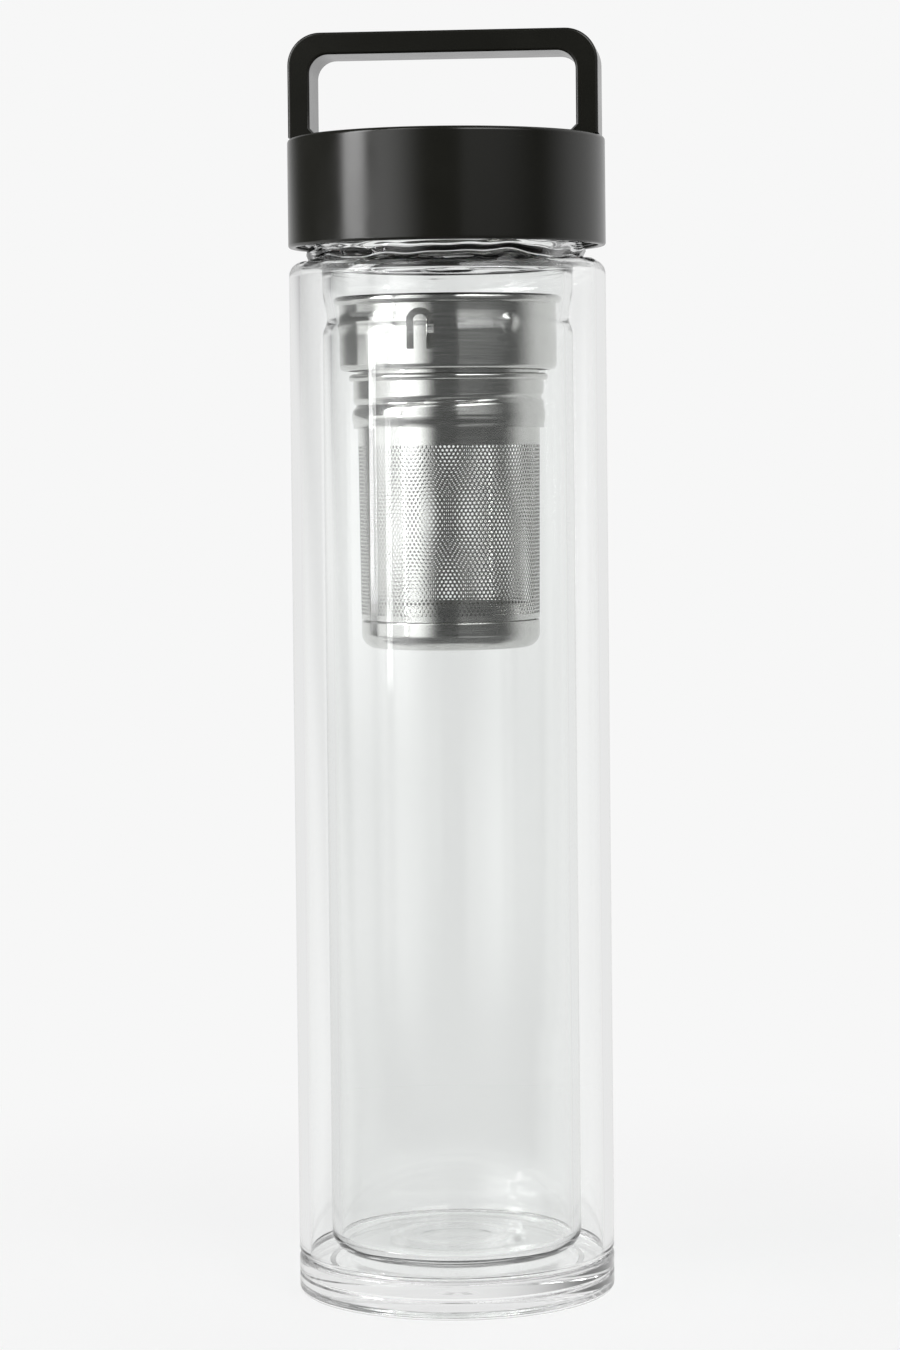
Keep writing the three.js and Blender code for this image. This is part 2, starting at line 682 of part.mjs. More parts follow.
// The collar's threaded spigot, whose flange is the collar's floor and rests on its lip. The groove
// runs out at the lower edge, so that the basket's thread can leave it.
function makeScrewSpigot() {
  const flangeRadius = collarBore - JOIN_GAP;
  const top = spigotFlangeUnder - SHEET;
  const head = [
    new THREE.Vector2(spigotRadius, spigotFlangeUnder),
    new THREE.Vector2(flangeRadius, spigotFlangeUnder),
    new THREE.Vector2(flangeRadius, spigotFlangeTop),
    new THREE.Vector2(spigotRadius - SHEET, spigotFlangeTop),
  ];
  const lastTurn = SCREW_TURNS / 2 + SCREW_FADE;
  const reach = SCREW_REACH + SCREW_CLEARANCE;
  return screwRing(spigotRadius, spigotBottom, top, head, (azimuth, height) => (
    screwOffset(azimuth, height, -Infinity, lastTurn, reach)
  ));
}

// The basket's threaded mouth, with its edge rolled outwards.
function makeBasketRing() {
  const rollRadius = ringRadius + RING_ROLL_OVERHANG - RING_ROLL_RADIUS;
  const rollHeight = ringTop - RING_ROLL_RADIUS;
  const top = rollHeight - RING_ROLL_RADIUS;
  const rollEnd = THREE.MathUtils.degToRad(RING_ROLL_END);
  const head = arcPoints(
    rollRadius, rollHeight, RING_ROLL_RADIUS, -Math.PI / 2, rollEnd, ROLL_STEPS,
  );
  const halfTurns = SCREW_TURNS / 2;
  return screwRing(ringRadius, ringBottom, top, head, (azimuth, height) => (
    screwOffset(azimuth, height, -halfTurns, halfTurns, SCREW_REACH)
  ));
}

// The heights of the mesh's rows, with a plain band at the bottom and at the top.
function meshRowHeights() {
  const low = meshBottom + MESH_BOTTOM_BAND;
  const high = meshTop - MESH_TOP_BAND;
  const heights = [meshBottom];
  for (let row = 0; row <= MESH_ROWS; row += 1) {
    heights.push(low + ((high - low) * row) / MESH_ROWS);
  }
  heights.push(meshTop);
  return heights;
}

// The basket's perforated wall, tapering a little downwards, with holes in every other cell.
function makeBasketMesh() {
  const heights = meshRowHeights();
  const lastRow = heights.length - 2;
  const corners = [];
  const pointAt = (column, height, depth) => {
    const share = (height - meshBottom) / MESH_HEIGHT;
    const radius = cupRadius + MESH_TAPER * share - depth;
    return atAzimuth(radius, (2 * Math.PI * (column % MESH_COLUMNS)) / MESH_COLUMNS, height);
  };
  const addTriangles = (loops) => loops.forEach((loop) => corners.push(...loop));
  const cellFaces = (column, row, depth) => {
    const low = heights[row];
    const high = heights[row + 1];
    const middle = (low + high) / 2;
    const rise = ((high - low) / 2) * MESH_HOLE_SHARE;
    const a = pointAt(column, low, depth);
    const b = pointAt(column + 1, low, depth);
    const c = pointAt(column + 1, high, depth);
    const d = pointAt(column, high, depth);
    const isPlain = row === 0 || row === lastRow || (column + row) % 2 === 1;
    if (isPlain) {
      return { faces: [[a, b, c], [a, c, d]], hole: [] };
    }
    const south = pointAt(column + 0.5, middle - rise, depth);
    const north = pointAt(column + 0.5, middle + rise, depth);
    const west = pointAt(column + 0.5 - MESH_HOLE_SHARE / 2, middle, depth);
    const east = pointAt(column + 0.5 + MESH_HOLE_SHARE / 2, middle, depth);
    const faces = [
      [a, b, south], [b, east, south], [b, c, east], [c, north, east],
      [c, d, north], [d, west, north], [d, a, west], [a, south, west],
    ];
    return { faces, hole: [south, east, north, west] };
  };
  const addWall = (from, to, fromInside, toInside) => {
    addTriangles([[from, to, toInside], [from, toInside, fromInside]]);
  };
  for (let column = 0; column < MESH_COLUMNS; column += 1) {
    for (let row = 0; row <= lastRow; row += 1) {
      const outside = cellFaces(column, row, 0);
      const inside = cellFaces(column, row, SHEET);
      addTriangles(outside.faces);
      addTriangles(inside.faces.map((face) => [...face].reverse()));
      outside.hole.forEach((point, index) => {
        const next = (index + 1) % outside.hole.length;
        addWall(point, outside.hole[next], inside.hole[index], inside.hole[next]);
      });
    }
    const edge = (side, height, depth) => pointAt(column + side, height, depth);
    const addEdge = (height, from, to) => addWall(
      edge(from, height, 0), edge(to, height, 0), edge(from, height, SHEET), edge(to, height, SHEET),
    );
    addEdge(meshBottom, 1, 0);
    addEdge(meshTop, 0, 1);
  }
  return fromTriangles(corners);
}

// The drawn cup that closes the basket, with an upstand inside the mesh.
function makeBasketBottom() {
  const upstandRadius = cupRadius - SHEET - JOIN_GAP;
  const upstandTop = cupTop + JOIN_GAP + CUP_UPSTAND;
  return revolve(axisOutline([
    [0, cupBottom],
    [cupRadius, cupBottom, CUP_CORNER_RADIUS],
    [cupRadius, cupTop],
    [upstandRadius, cupTop],
    [upstandRadius, upstandTop],
    [upstandRadius - SHEET, upstandTop],
    [upstandRadius - SHEET, cupTop - SHEET],
    [cupRadius - SHEET, cupTop - SHEET],
    [cupRadius - SHEET, cupBottom + SHEET, CUP_CORNER_RADIUS - SHEET],
    [0, cupBottom + SHEET],
  ]));
}

function addPiece(parent, name, geometry, material) {
  const piece = new THREE.Mesh(geometry, material);
  piece.name = name;
  parent.add(piece);
}

const flask = new THREE.Group();
addPiece(flask, 'outer_glass', makeOuterGlass(), materials.glass);
addPiece(flask, 'inner_glass', makeInnerGlass(), materials.glass);
addPiece(flask, 'glass_base', makeGlassBase(), materials.glass);
addPiece(flask, 'base_seal_tip', makeBaseSealTip(), materials.glass);

const cap = new THREE.Group();
addPiece(cap, 'cap_shell', makeCapShell(), materials.blackPlastic);
addPiece(cap, 'carry_handle', makeCarryHandle(), materials.blackPlastic);
addPiece(cap, 'cap_liner', makeCapLiner(), materials.linerPlastic);
addPiece(cap, 'cap_plate', makeCapPlate(), materials.linerPlastic);
addPiece(cap, 'cap_seal', makeCapSeal(), materials.silicone);

const infuser = new THREE.Group();
addPiece(infuser, 'infuser_collar', makeInfuserCollar(), materials.steel);
addPiece(infuser, 'strainer_plate', makeStrainerPlate(), materials.steel);
addPiece(infuser, 'screw_spigot', makeScrewSpigot(), materials.steel);
addPiece(infuser, 'basket_ring', makeBasketRing(), materials.steel);
addPiece(infuser, 'basket_mesh', makeBasketMesh(), materials.steel);
addPiece(infuser, 'basket_bottom', makeBasketBottom(), materials.steel);

const teaFlask = new THREE.Group();
teaFlask.add(flask, cap, infuser);

export default teaFlask;
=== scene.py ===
"""The looks of a double-walled glass tea flask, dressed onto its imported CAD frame.

Lengths are in metres, Z is up, and azimuths are turned from -Y towards +X. Each smooth piece takes
its main sizes from the CAD node that it stands for.
"""

import math

import bpy
import numpy as np
from mathutils import Matrix, Vector


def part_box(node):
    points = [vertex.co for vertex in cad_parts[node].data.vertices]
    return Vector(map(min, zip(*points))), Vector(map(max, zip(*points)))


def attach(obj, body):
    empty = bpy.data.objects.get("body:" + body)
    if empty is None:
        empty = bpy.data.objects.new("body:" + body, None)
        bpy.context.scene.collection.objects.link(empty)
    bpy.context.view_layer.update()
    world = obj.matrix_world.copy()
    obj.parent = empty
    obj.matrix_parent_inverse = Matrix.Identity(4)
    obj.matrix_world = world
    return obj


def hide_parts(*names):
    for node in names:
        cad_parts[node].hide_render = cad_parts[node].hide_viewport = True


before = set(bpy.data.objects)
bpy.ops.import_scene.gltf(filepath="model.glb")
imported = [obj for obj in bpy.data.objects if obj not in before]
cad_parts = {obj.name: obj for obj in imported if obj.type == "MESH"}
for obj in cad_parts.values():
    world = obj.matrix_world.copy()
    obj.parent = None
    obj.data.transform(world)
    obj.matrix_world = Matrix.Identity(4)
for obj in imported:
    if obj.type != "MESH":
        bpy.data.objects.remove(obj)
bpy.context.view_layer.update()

MM = 0.001

# Facets
SEGMENTS = 192
FINE_SEGMENTS = 320
ARC_STEP = math.radians(9)
SHARP_ANGLE = math.radians(32)
EDGE_SUPPORT = 0.05 * MM  # from a rounding to the point that keeps the straight beyond it flat
ROW_STEP = 0.3 * MM  # between the rows of a wall that carries a thread or dimples
AXIS_TOLERANCE = 1e-9  # radius below which a point of an outline lies on the axis

# Glass
OUTER_WALL = 2.2 * MM
LINER_WALL = 1.8 * MM
LINER_FLOOR = 2.1 * MM
LINER_CORNER = 4 * MM
NECK_STEP = 2.5 * MM
NECK_WALL = 3.4 * MM
SHOULDER_WALL = 1.6 * MM
FLARE_HEIGHT = 1 * MM
FLARE_ROUNDING = 0.8 * MM
NECK_BEAD_RISE = 1.7 * MM  # above the shoulder
NECK_BEAD_REACH = 1.6 * MM
NECK_BEAD_DEPTH = 0.6 * MM
PINCH_DROP = 12.4 * MM  # from the shoulder's top
PINCH_DEPTH = 0.9 * MM
PINCH_RUN_UP = 6.5 * MM
PINCH_RUN_DOWN = 3.5 * MM
MOUTH_ROUNDING = 1.2 * MM
SHOULDER_ROUNDING = 3.2 * MM
NECK_FILLET = 1.5 * MM  # where the outer wall is fused to the neck
WORKED_REACH = 4.5 * MM  # of the unevenness that the fusing by hand leaves
WORKED_LIFT = 0.35 * MM
WORKED_SWELL = 0.22 * MM
# Waves of that unevenness: how many go round the neck, their size and their phase
WORKED_WAVES = ((3, 0.9, 0.6), (5, 0.7, 2.1), (8, 0.6, 4.4), (13, 0.5, 1.3), (21, 0.35, 5.2))
FIRE_POLISH = 0.7 * MM  # rounding of the smaller edges of the glass
SEAM_ROUNDING = 1 * MM  # on both sides of the seam of the base
FLOOR_RING_RADIUS = 11 * MM  # the mark of the closed end, in the middle of the floor
FLOOR_RING_REACH = 4 * MM
FLOOR_RING_HEIGHT = 0.35 * MM
FOOT_WIDTH = 7 * MM
FOOT_RECESS = 0.8 * MM
FOOT_EDGE = 1.2 * MM
BASE_GROOVE_HEIGHT = 4.2 * MM
BASE_GROOVE_WIDTH = 1 * MM
BASE_GROOVE_DEPTH = 0.25 * MM
PIP_RADIUS = 3 * MM  # the sealed tip, a shallow dimple in the middle of the underside
PIP_DEPTH = 0.3 * MM

# Thread of the neck and the cap
THREAD_DEPTH = 1.3 * MM
THREAD_LEAD = 6 * MM
THREAD_TURNS = 1.25
THREAD_ROOT = 2.4 * MM
THREAD_CREST = 1 * MM
THREAD_START = 5.5 * MM  # above the shoulder, at the front
THREAD_RUN_OUT = 0.5  # of a turn, by which the neck's ridge starts before the front
THREAD_FADE = 0.08  # of a turn, at each end
CAP_THREAD_TURN = 0.25  # of a turn, from the front to where the sleeve's ridge starts
CAP_THREAD_DROP = 1.88 * MM  # from the neck's ridge down to the sleeve's

# Cap and handle
CAP_WALL = 1.6 * MM
CAP_TOP = 2 * MM
CAP_TOP_EDGE = 0.9 * MM
CAP_LOWER_EDGE = 0.6 * MM
CAP_INNER_EDGE = 0.3 * MM
CAP_LINER_WALL = 1 * MM
SEAL_WIDTH = 4.8 * MM
SEAL_ROUNDING = 0.5 * MM
HANDLE_THICKNESS = 4.65 * MM
HANDLE_OUTER_RADIUS = 6.9 * MM
HANDLE_INNER_RADIUS = 4 * MM
HANDLE_EDGE = 0.6 * MM
HANDLE_FOOT_CHAMFER = 1.9 * MM
HANDLE_FOOT_GAP = 0.1 * MM
HANDLE_BEND_STEPS = 16

# Infuser
SHEET = 0.6 * MM
RIM_ROLL = 0.95 * MM
COLLAR_STEP = 1.15 * MM  # from the rolled rim's side in to the collar's side
COLLAR_CORNER = 1.2 * MM
COLLAR_LIP = 1.2 * MM
BEAD_DROP = 5.5 * MM
BEAD_REACH = 1.8 * MM
BEAD_DEPTH = 0.18 * MM
DIMPLE_DROP = 6.4 * MM
DIMPLE_RADIUS = 2.6 * MM
DIMPLE_HEIGHT = 0.5 * MM
DIMPLE_AZIMUTH = math.radians(37.5)
TONGUE_WIDTH = 2.6 * MM
TONGUE_SLOT = 1.5 * MM
TONGUE_LENGTH = 8.6 * MM
TONGUE_DROP = 3 * MM
TONGUE_AZIMUTH = math.radians(-8.5)
CUTTER_REACH = 5 * SHEET  # of a tongue's cutter, to both sides of the collar's wall
COLLAR_FEATURES = 3  # dimples, and tongues
RING_ROLL = 0.75 * MM
RING_OVERHANG = 0.9 * MM
RING_ROLL_END = math.radians(162)  # where the roll comes back to the wall
RING_BULGE_RISE = 2.5 * MM
RING_BULGE_REACH = 2.5 * MM
RING_BULGE_DEPTH = 0.3 * MM
SCREW_LEAD = 3.6 * MM
SCREW_DEPTH = 0.6 * MM
SCREW_REACH = 1.1 * MM
SCREW_CLEARANCE = 0.3 * MM
SCREW_HALF_TURNS = 0.55  # of the ring's thread, to each side of the front
SCREW_FADE = 0.15  # of a turn, at each end
SCREW_DROP = 5.9 * MM
SCREW_LAPS = range(-3, 4)  # turns of the thread that a wall of this height can meet
SPIGOT_FLANGE_OVERHANG = 2.8 * MM
MESH_TAPER = 0.4 * MM
MESH_SHEET = 0.15 * MM
MESH_TOP_BAND = 5.7 * MM
MESH_BOTTOM_BAND = 0.6 * MM
MESH_COLUMNS = 130
MESH_ROWS = 47
HOLE_RADIUS = 0.35 * MM
HOLE_SIDES = 6
# Each corner round a hole, the corner after it, and the sides of the hole that it faces
HOLE_FANS = ((0, 1, 0, 1), (1, 2, 1, 2), (2, 3, 2, 4), (3, 0, 4, 6))
CUP_BAND = 5.8 * MM
CUP_CORNER = 3 * MM
CUP_UPSTAND_GAP = 0.9 * MM
PLATE_COLUMNS = 72
PLATE_ROWS = 18
PLATE_BORE = 2 * MM  # radius of the plain hole in the middle
PLATE_CENTRE = 5 * MM  # radius at which the rows of holes begin
PLATE_ROUND_RADIUS = 10 * MM  # at which a hole is as wide as it is long
PLATE_RIM = 1.5 * MM

# Camera
CAMERA_AZIMUTH = math.radians(5.5)
CAMERA_DISTANCE = 0.79
CAMERA_HEIGHT = 0.1801
CAMERA_PITCH = math.radians(1.53)
CAMERA_ROLL = math.radians(-0.58)
CAMERA_SHIFT = -0.1
LENS = 99.3  # in millimetres, like the sensor
SENSOR = 36

# Studio
BACKGROUND = 0.93
FRONT_LEVEL = 0.085
BACK_LEVEL = 0.8
# The studio's white walls: azimuth from the camera, brightening downwards, and the cosines of the
# angles from it at which the wall begins and is fully white
WHITE_WALLS = ((147, 0, 0.2, 0.8), (-165, 2, 0.7, 0.95))
FLOOR_RADIUS = 0.3
FLOOR_SHADE_RADII = (0.0625, 0.25)  # distances between which the shadow fades out
FLOOR_SHADE = 0.2
FLOOR_LIGHT = 0.88  # level of the light on the floor, where no shadow falls
MIRRORED_FLOOR = (0.05, 0.13)  # distances between which the floor darkens in reflections
MIRROR_SLOPE = 0.2  # of the sight lines that meet the floor after a reflection
FLOOR_DROP = 0.02 * MM
LIGHT_DISTANCE = 1.0
# Azimuths from the camera and the widths over which the two sides fade, in degrees, and the
# brightness at each height
SOFT_BOXES = {
    "key_box": ((-58, -13), (9, 32), (
        (-0.12, 0), (-0.05, 0.75), (0.05, 0.75), (0.12, 2.2), (0.2, 2.2), (0.26, 1.75), (1.1, 1.75),
        (1.2, 5), (1.7, 5),
    )),
    "key_strip": ((-81, -57), (6, 6), ((0.25, 0), (0.275, 8.5), (1.1, 8.5))),
    "edge_strip": ((-58.7, -55.3), (0.5, 0.5), ((0.09, 0), (0.12, 18), (0.215, 18), (0.24, 0))),
    "left_box": ((-106, -57), (4, 4), (
        (-0.12, 0), (-0.05, 0.4), (0.04, 0.4), (0.12, 1.2), (0.21, 1.2), (0.25, 0),
    )),
    "fill_box": ((8, 72), (5, 40), (
        (-0.12, 0), (-0.05, 0.35), (0.02, 0.35), (0.08, 0.03), (0.24, 0.03), (0.28, 0.38),
        (0.65, 0.38), (0.75, 4), (1.5, 4),
    )),
}
WHITE = (1, 1, 1, 1)
PAPER = (0.8, 0.8, 0.8, 1)
NOISE_RANGE = (0.3, 0.7)  # in which most values of a noise lie
ONE_BOUNCE = 0.5  # a count of bounces above this is at least one
GLASS_BOUNCES = 32
MIRROR_BOUNCES = 12


def node_box(name):
    """Largest radius, lowest height and highest height of a CAD node."""
    low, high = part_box(name)
    return high.x, low.z, high.z


def hump(distance, reach):
    """1 in the middle and 0 from the reach on, smoothly."""
    share = np.clip(np.abs(distance) / reach, 0, 1)
    return np.cos(0.5 * np.pi * share) ** 2


def rounded(corners, closed=True):
    """Points of an outline through corners given as (across, up, radius of rounding).

    A straight has a point close to each rounding at its ends, so that its shading stays flat.
    """
    bends = []
    count = len(corners)
    for index, corner in enumerate(corners):
        here = Vector(corner[:2])
        radius = corner[2] if len(corner) > 2 else 0
        if radius == 0 or (not closed and index in (0, count - 1)):
            bends.append([here])
            continue
        to_before = (Vector(corners[index - 1][:2]) - here).normalized()
        to_after = (Vector(corners[(index + 1) % count][:2]) - here).normalized()
        half = to_before.angle(to_after) / 2
        centre = here + (to_before + to_after).normalized() * radius / math.sin(half)
        start = here + to_before * radius / math.tan(half) - centre
        end = here + to_after * radius / math.tan(half) - centre
        sweep = -start.angle_signed(end)
        steps = max(2, math.ceil(abs(sweep) / ARC_STEP))
        bends.append([centre + Matrix.Rotation(sweep * step / steps, 2) @ start
                      for step in range(steps + 1)])
    points = []
    for bend, following in zip(bends, bends[1:] + (bends[:1] if closed else [[bends[-1][-1]]])):
        points.extend(bend)
        straight = following[0] - bend[-1]
        if straight.length > 3 * EDGE_SUPPORT:
            support = straight.normalized() * EDGE_SUPPORT
            if len(bend) > 1:
                points.append(bend[-1] + support)
            if len(following) > 1:
                points.append(following[0] - support)
    return [tuple(point) for point in points]


def arc(centre, radius, start, end, count=None):
    """Points of an arc in the plane of an outline, from one angle to another."""
    count = count or max(2, math.ceil(abs(end - start) / ARC_STEP))
    return [
        (centre[0] + radius * math.cos(angle), centre[1] + radius * math.sin(angle))
        for angle in np.linspace(start, end, count)
    ]


def rows(low, high):
    """Steps between two heights or radii, close enough for a thread or a dimple."""
    return np.linspace(low, high, max(2, round(abs(high - low) / ROW_STEP)))


def add_piece(name, vertices, faces):
    mesh = bpy.data.meshes.new(name)
    mesh.from_pydata([tuple(vertex) for vertex in vertices], [], faces)
    mesh.validate()
    mesh.shade_smooth()
    mesh.set_sharp_from_angle(angle=SHARP_ANGLE)
    piece = bpy.data.objects.new(name, mesh)
    bpy.context.scene.collection.objects.link(piece)
    return piece


def lathe(name, outline, offset=None, segments=SEGMENTS):
    """A closed piece turned about Z from a counterclockwise outline of (radius, height).

    offset(azimuths, radius, height) gives what is added to the radius and to the height round
    the piece.
    """
    azimuths = np.arange(segments) * 2 * np.pi / segments
    vertices, rings = [], []
    for radius, height in outline:
        first = len(vertices)
        if radius < AXIS_TOLERANCE:
            vertices.append((0, 0, height))
            rings.append([first] * segments)
            continue
        outward, upward = offset(azimuths, radius, height) if offset else (0, 0)
        radii = radius + outward + np.zeros(segments)
        heights = height + upward + np.zeros(segments)
        vertices.extend(zip(radii * np.sin(azimuths), -radii * np.cos(azimuths), heights))
        rings.append(list(range(first, first + segments)))
    on_axis = outline[0][0] < AXIS_TOLERANCE
    pairs = list(zip(rings, rings[1:])) + ([] if on_axis else [(rings[-1], rings[0])])
    faces = []
    for low, high in pairs:
        for here in range(segments):
            after = (here + 1) % segments
            corners = (low[here], low[after], high[after], high[here])
            faces.append(tuple(dict.fromkeys(corners)))
    return add_piece(name, vertices, faces)


def dress(piece, material, body, slot, *nodes):
    """Gives a piece its material, hangs it on the empty of the body it rides on, and hides the CAD
    nodes it stands for.
    """
    piece.data.materials.append(material)
    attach(piece, body)
    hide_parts(*nodes)


def add_node(tree, kind, inputs=None, **settings):
    """A shader node. An input is given by name or number, as a value or as a socket to link."""
    node = tree.nodes.new(kind)
    for name, value in settings.items():
        setattr(node, name, value)
    for key, value in (inputs or {}).items():
        if isinstance(value, bpy.types.NodeSocket):
            tree.links.new(value, node.inputs[key])
        else:
            node.inputs[key].default_value = value
    return node


def new_material(name):
    material = bpy.data.materials.new(name)
    material.use_nodes = True
    material.node_tree.nodes.clear()
    return material, material.node_tree


def object_noise(tree, scale, detail=2, factors=(1, 1, 1)):
    """Noise over the object's own coordinates, each multiplied by a factor."""
    coordinates = add_node(tree, "ShaderNodeTexCoord").outputs["Object"]
    mapping = add_node(tree, "ShaderNodeMapping", {"Vector": coordinates, "Scale": factors})
    noise = add_node(tree, "ShaderNodeTexNoise", {
        "Vector": mapping.outputs["Vector"], "Scale": scale, "Detail": detail,
    })
    return noise.outputs["Fac"]


def spread(tree, factor, low, high):
    """A noise spread over a range of values."""
    return add_node(tree, "ShaderNodeMapRange", {
        "Value": factor, "From Min": NOISE_RANGE[0], "From Max": NOISE_RANGE[1],
        "To Min": low, "To Max": high,
    }).outputs["Result"]


def colour_between(tree, factor, low, high):
    mix = add_node(tree, "ShaderNodeMix", {
        0: factor, 6: (*low, 1), 7: (*high, 1),
    }, data_type="RGBA")
    return mix.outputs[2]


def bump(tree, height, strength, distance):
    return add_node(tree, "ShaderNodeBump", {
        "Height": height, "Strength": strength, "Distance": distance,
    }).outputs["Normal"]


def finish_material(tree, shader):
    add_node(tree, "ShaderNodeOutputMaterial", {"Surface": shader})


def clear_glass():
    """Drawn glass with faint upright ripples, which lets the lamps through to what is behind it."""
    material, tree = new_material("clear_glass")
    ripple = object_noise(tree, scale=110, factors=(1, 1, 0.12))
    glass = add_node(tree, "ShaderNodeBsdfPrincipled", {
        "Base Color": (0.995, 1, 0.997, 1),
        "Roughness": 0,
        "IOR": 1.47,
        "Transmission Weight": 1,
        "Normal": bump(tree, ripple, strength=0.02, distance=0.3 * MM),
    })
    clear = add_node(tree, "ShaderNodeBsdfTransparent", {"Color": (0.93, 0.94, 0.935, 1)})
    path = add_node(tree, "ShaderNodeLightPath")
    mix = add_node(tree, "ShaderNodeMixShader", {
        0: path.outputs["Is Shadow Ray"], 1: glass.outputs[0], 2: clear.outputs[0],
    })
    finish_material(tree, mix.outputs[0])
    return material


def moulded_plastic(name, dark, pale, roughness, grain):
    """Moulded plastic with a fine grain and slight cloudiness of its gloss."""
    material, tree = new_material(name)
    cloud = object_noise(tree, scale=90, detail=4)
    pits = object_noise(tree, scale=4200)
    shader = add_node(tree, "ShaderNodeBsdfPrincipled", {
        "Base Color": colour_between(tree, cloud, dark, pale),
        "Roughness": spread(tree, cloud, *roughness),
        "Normal": bump(tree, pits, strength=grain, distance=0.02 * MM),
    })
    finish_material(tree, shader.outputs[0])
    return material


def stainless_steel():
    """Turned stainless sheet: fine lines round the axis, and slightly uneven gloss."""
    material, tree = new_material("steel")
    lines = object_noise(tree, scale=5200, detail=3, factors=(0.02, 0.02, 1))
    cloud = object_noise(tree, scale=130, detail=3)
    shader = add_node(tree, "ShaderNodeBsdfPrincipled", {
        "Base Color": colour_between(tree, cloud, (0.64, 0.64, 0.625), (0.75, 0.75, 0.735)),
        "Metallic": 1,
        "Roughness": spread(tree, lines, low=0.09, high=0.17),
        "Normal": bump(tree, lines, strength=0.06, distance=0.02 * MM),
    })
    finish_material(tree, shader.outputs[0])
    return material


def silicone_rubber():
    material, tree = new_material("silicone")
    cloud = object_noise(tree, scale=160, detail=3)
    shader = add_node(tree, "ShaderNodeBsdfPrincipled", {
        "Base Color": colour_between(tree, cloud, (0.66, 0.65, 0.6), (0.74, 0.73, 0.68)),
        "Roughness": spread(tree, cloud, low=0.42, high=0.55),
        "Subsurface Weight": 0.25,
        "Subsurface Scale": 1 * MM,
    })
    finish_material(tree, shader.outputs[0])
    return material


def thread_bulge(height, azimuths, from_turn, to_turn, drop):
    """Height of a thread's ridge over its wall, round the axis at one height."""
    _, _, shoulder = node_box("outer_glass")
    bulge = np.zeros(len(azimuths))
    for lap in range(math.floor(from_turn), math.ceil(to_turn) + 1):
        turn = azimuths / (2 * np.pi) + lap
        middle = shoulder + THREAD_START + THREAD_LEAD * turn - drop
        flank = (THREAD_ROOT / 2 - np.abs(height - middle)) / ((THREAD_ROOT - THREAD_CREST) / 2)
        ends = np.minimum(turn - from_turn, to_turn - turn) / THREAD_FADE
        share = np.clip(np.minimum(flank, ends), 0, 1)
        bulge = np.maximum(bulge, THREAD_DEPTH * share * share * (3 - 2 * share))
    return bulge


def liner_radius():
    """The liner's own radius, below the thread of its neck."""
    radius, _, _ = node_box("inner_glass")
    return radius - THREAD_DEPTH - NECK_STEP


def pinch_offset(height, middle):
    run = np.where(height > middle, PINCH_RUN_UP, PINCH_RUN_DOWN)
    return PINCH_DEPTH * hump(height - middle, run)


def hand_worked(azimuths, height, shoulder):
    """Unevenness that working by hand leaves round the neck: how far outward, and how far up."""
    share = hump(height - shoulder, WORKED_REACH if height > shoulder else SHOULDER_WALL)
    swell = sum(size * np.sin(count * azimuths + phase) for count, size, phase in WORKED_WAVES)
    lift = sum(size * np.cos(count * azimuths - phase) for count, size, phase in WORKED_WAVES)
    return WORKED_SWELL * share * swell, WORKED_LIFT * share * lift


def glass_walls():
    """The outer wall and the liner, fused at the neck, with the space between them open below.

    The liner has the thread of its neck, a ring pinch, and the closing mark of its floor.
    """
    outer_radius, bottom, shoulder = node_box("outer_glass")
    _, under, mouth = node_box("inner_glass")
    outer_bore = outer_radius - OUTER_WALL
    radius = liner_radius()
    bore = radius - LINER_WALL
    neck_radius = radius + NECK_STEP
    neck_bore = neck_radius - NECK_WALL
    floor = under + LINER_FLOOR
    flare_top = shoulder - SHOULDER_WALL
    flare_bottom = flare_top - FLARE_HEIGHT
    pinch = shoulder - PINCH_DROP
    heights = rows(pinch - PINCH_RUN_DOWN, pinch + PINCH_RUN_UP)
    draw_in = pinch_offset(heights, pinch)
    floor_radii = rows(FLOOR_RING_RADIUS + FLOOR_RING_REACH, 0)
    floor_ring = FLOOR_RING_HEIGHT * hump(floor_radii - FLOOR_RING_RADIUS, FLOOR_RING_REACH)
    neck_heights = rows(shoulder + NECK_FILLET, mouth - 2 * MOUTH_ROUNDING)
    outline = rounded([
        (0, under),
        (radius, under, LINER_CORNER),
        *zip(radius - draw_in, heights),
        (radius, flare_bottom, FLARE_ROUNDING),
        (neck_radius, flare_top, FLARE_ROUNDING / 2),
        (outer_bore, flare_top, SHOULDER_ROUNDING - (OUTER_WALL + SHOULDER_WALL) / 2),
        (outer_bore, bottom, FIRE_POLISH),
        (outer_radius, bottom, SEAM_ROUNDING),
        (outer_radius, shoulder, SHOULDER_ROUNDING),
        (neck_radius, shoulder, NECK_FILLET / 2),
        *((neck_radius, height) for height in neck_heights),
        (neck_radius, mouth, MOUTH_ROUNDING),
        (neck_bore, mouth, MOUTH_ROUNDING),
        (neck_bore, flare_top, FLARE_ROUNDING),
        (bore, flare_bottom, FLARE_ROUNDING),
        *reversed(list(zip(bore - draw_in, heights))),
        (bore, floor, LINER_CORNER - LINER_WALL),
        *zip(floor_radii, floor + floor_ring),
    ], closed=False)

    def thread_and_work(azimuths, at_radius, height):
        swell, lift = hand_worked(azimuths, height, shoulder)
        on_neck = abs(at_radius - neck_radius) < NECK_FILLET / 2 and height > shoulder
        if on_neck:
            above_bead = height - shoulder - NECK_BEAD_RISE
            swell = swell + thread_bulge(height, azimuths, -THREAD_RUN_OUT, THREAD_TURNS, drop=0)
            swell = swell + NECK_BEAD_DEPTH * hump(above_bead, NECK_BEAD_REACH)
        return swell, lift

    return lathe("glass_walls", outline, thread_and_work, FINE_SEGMENTS)


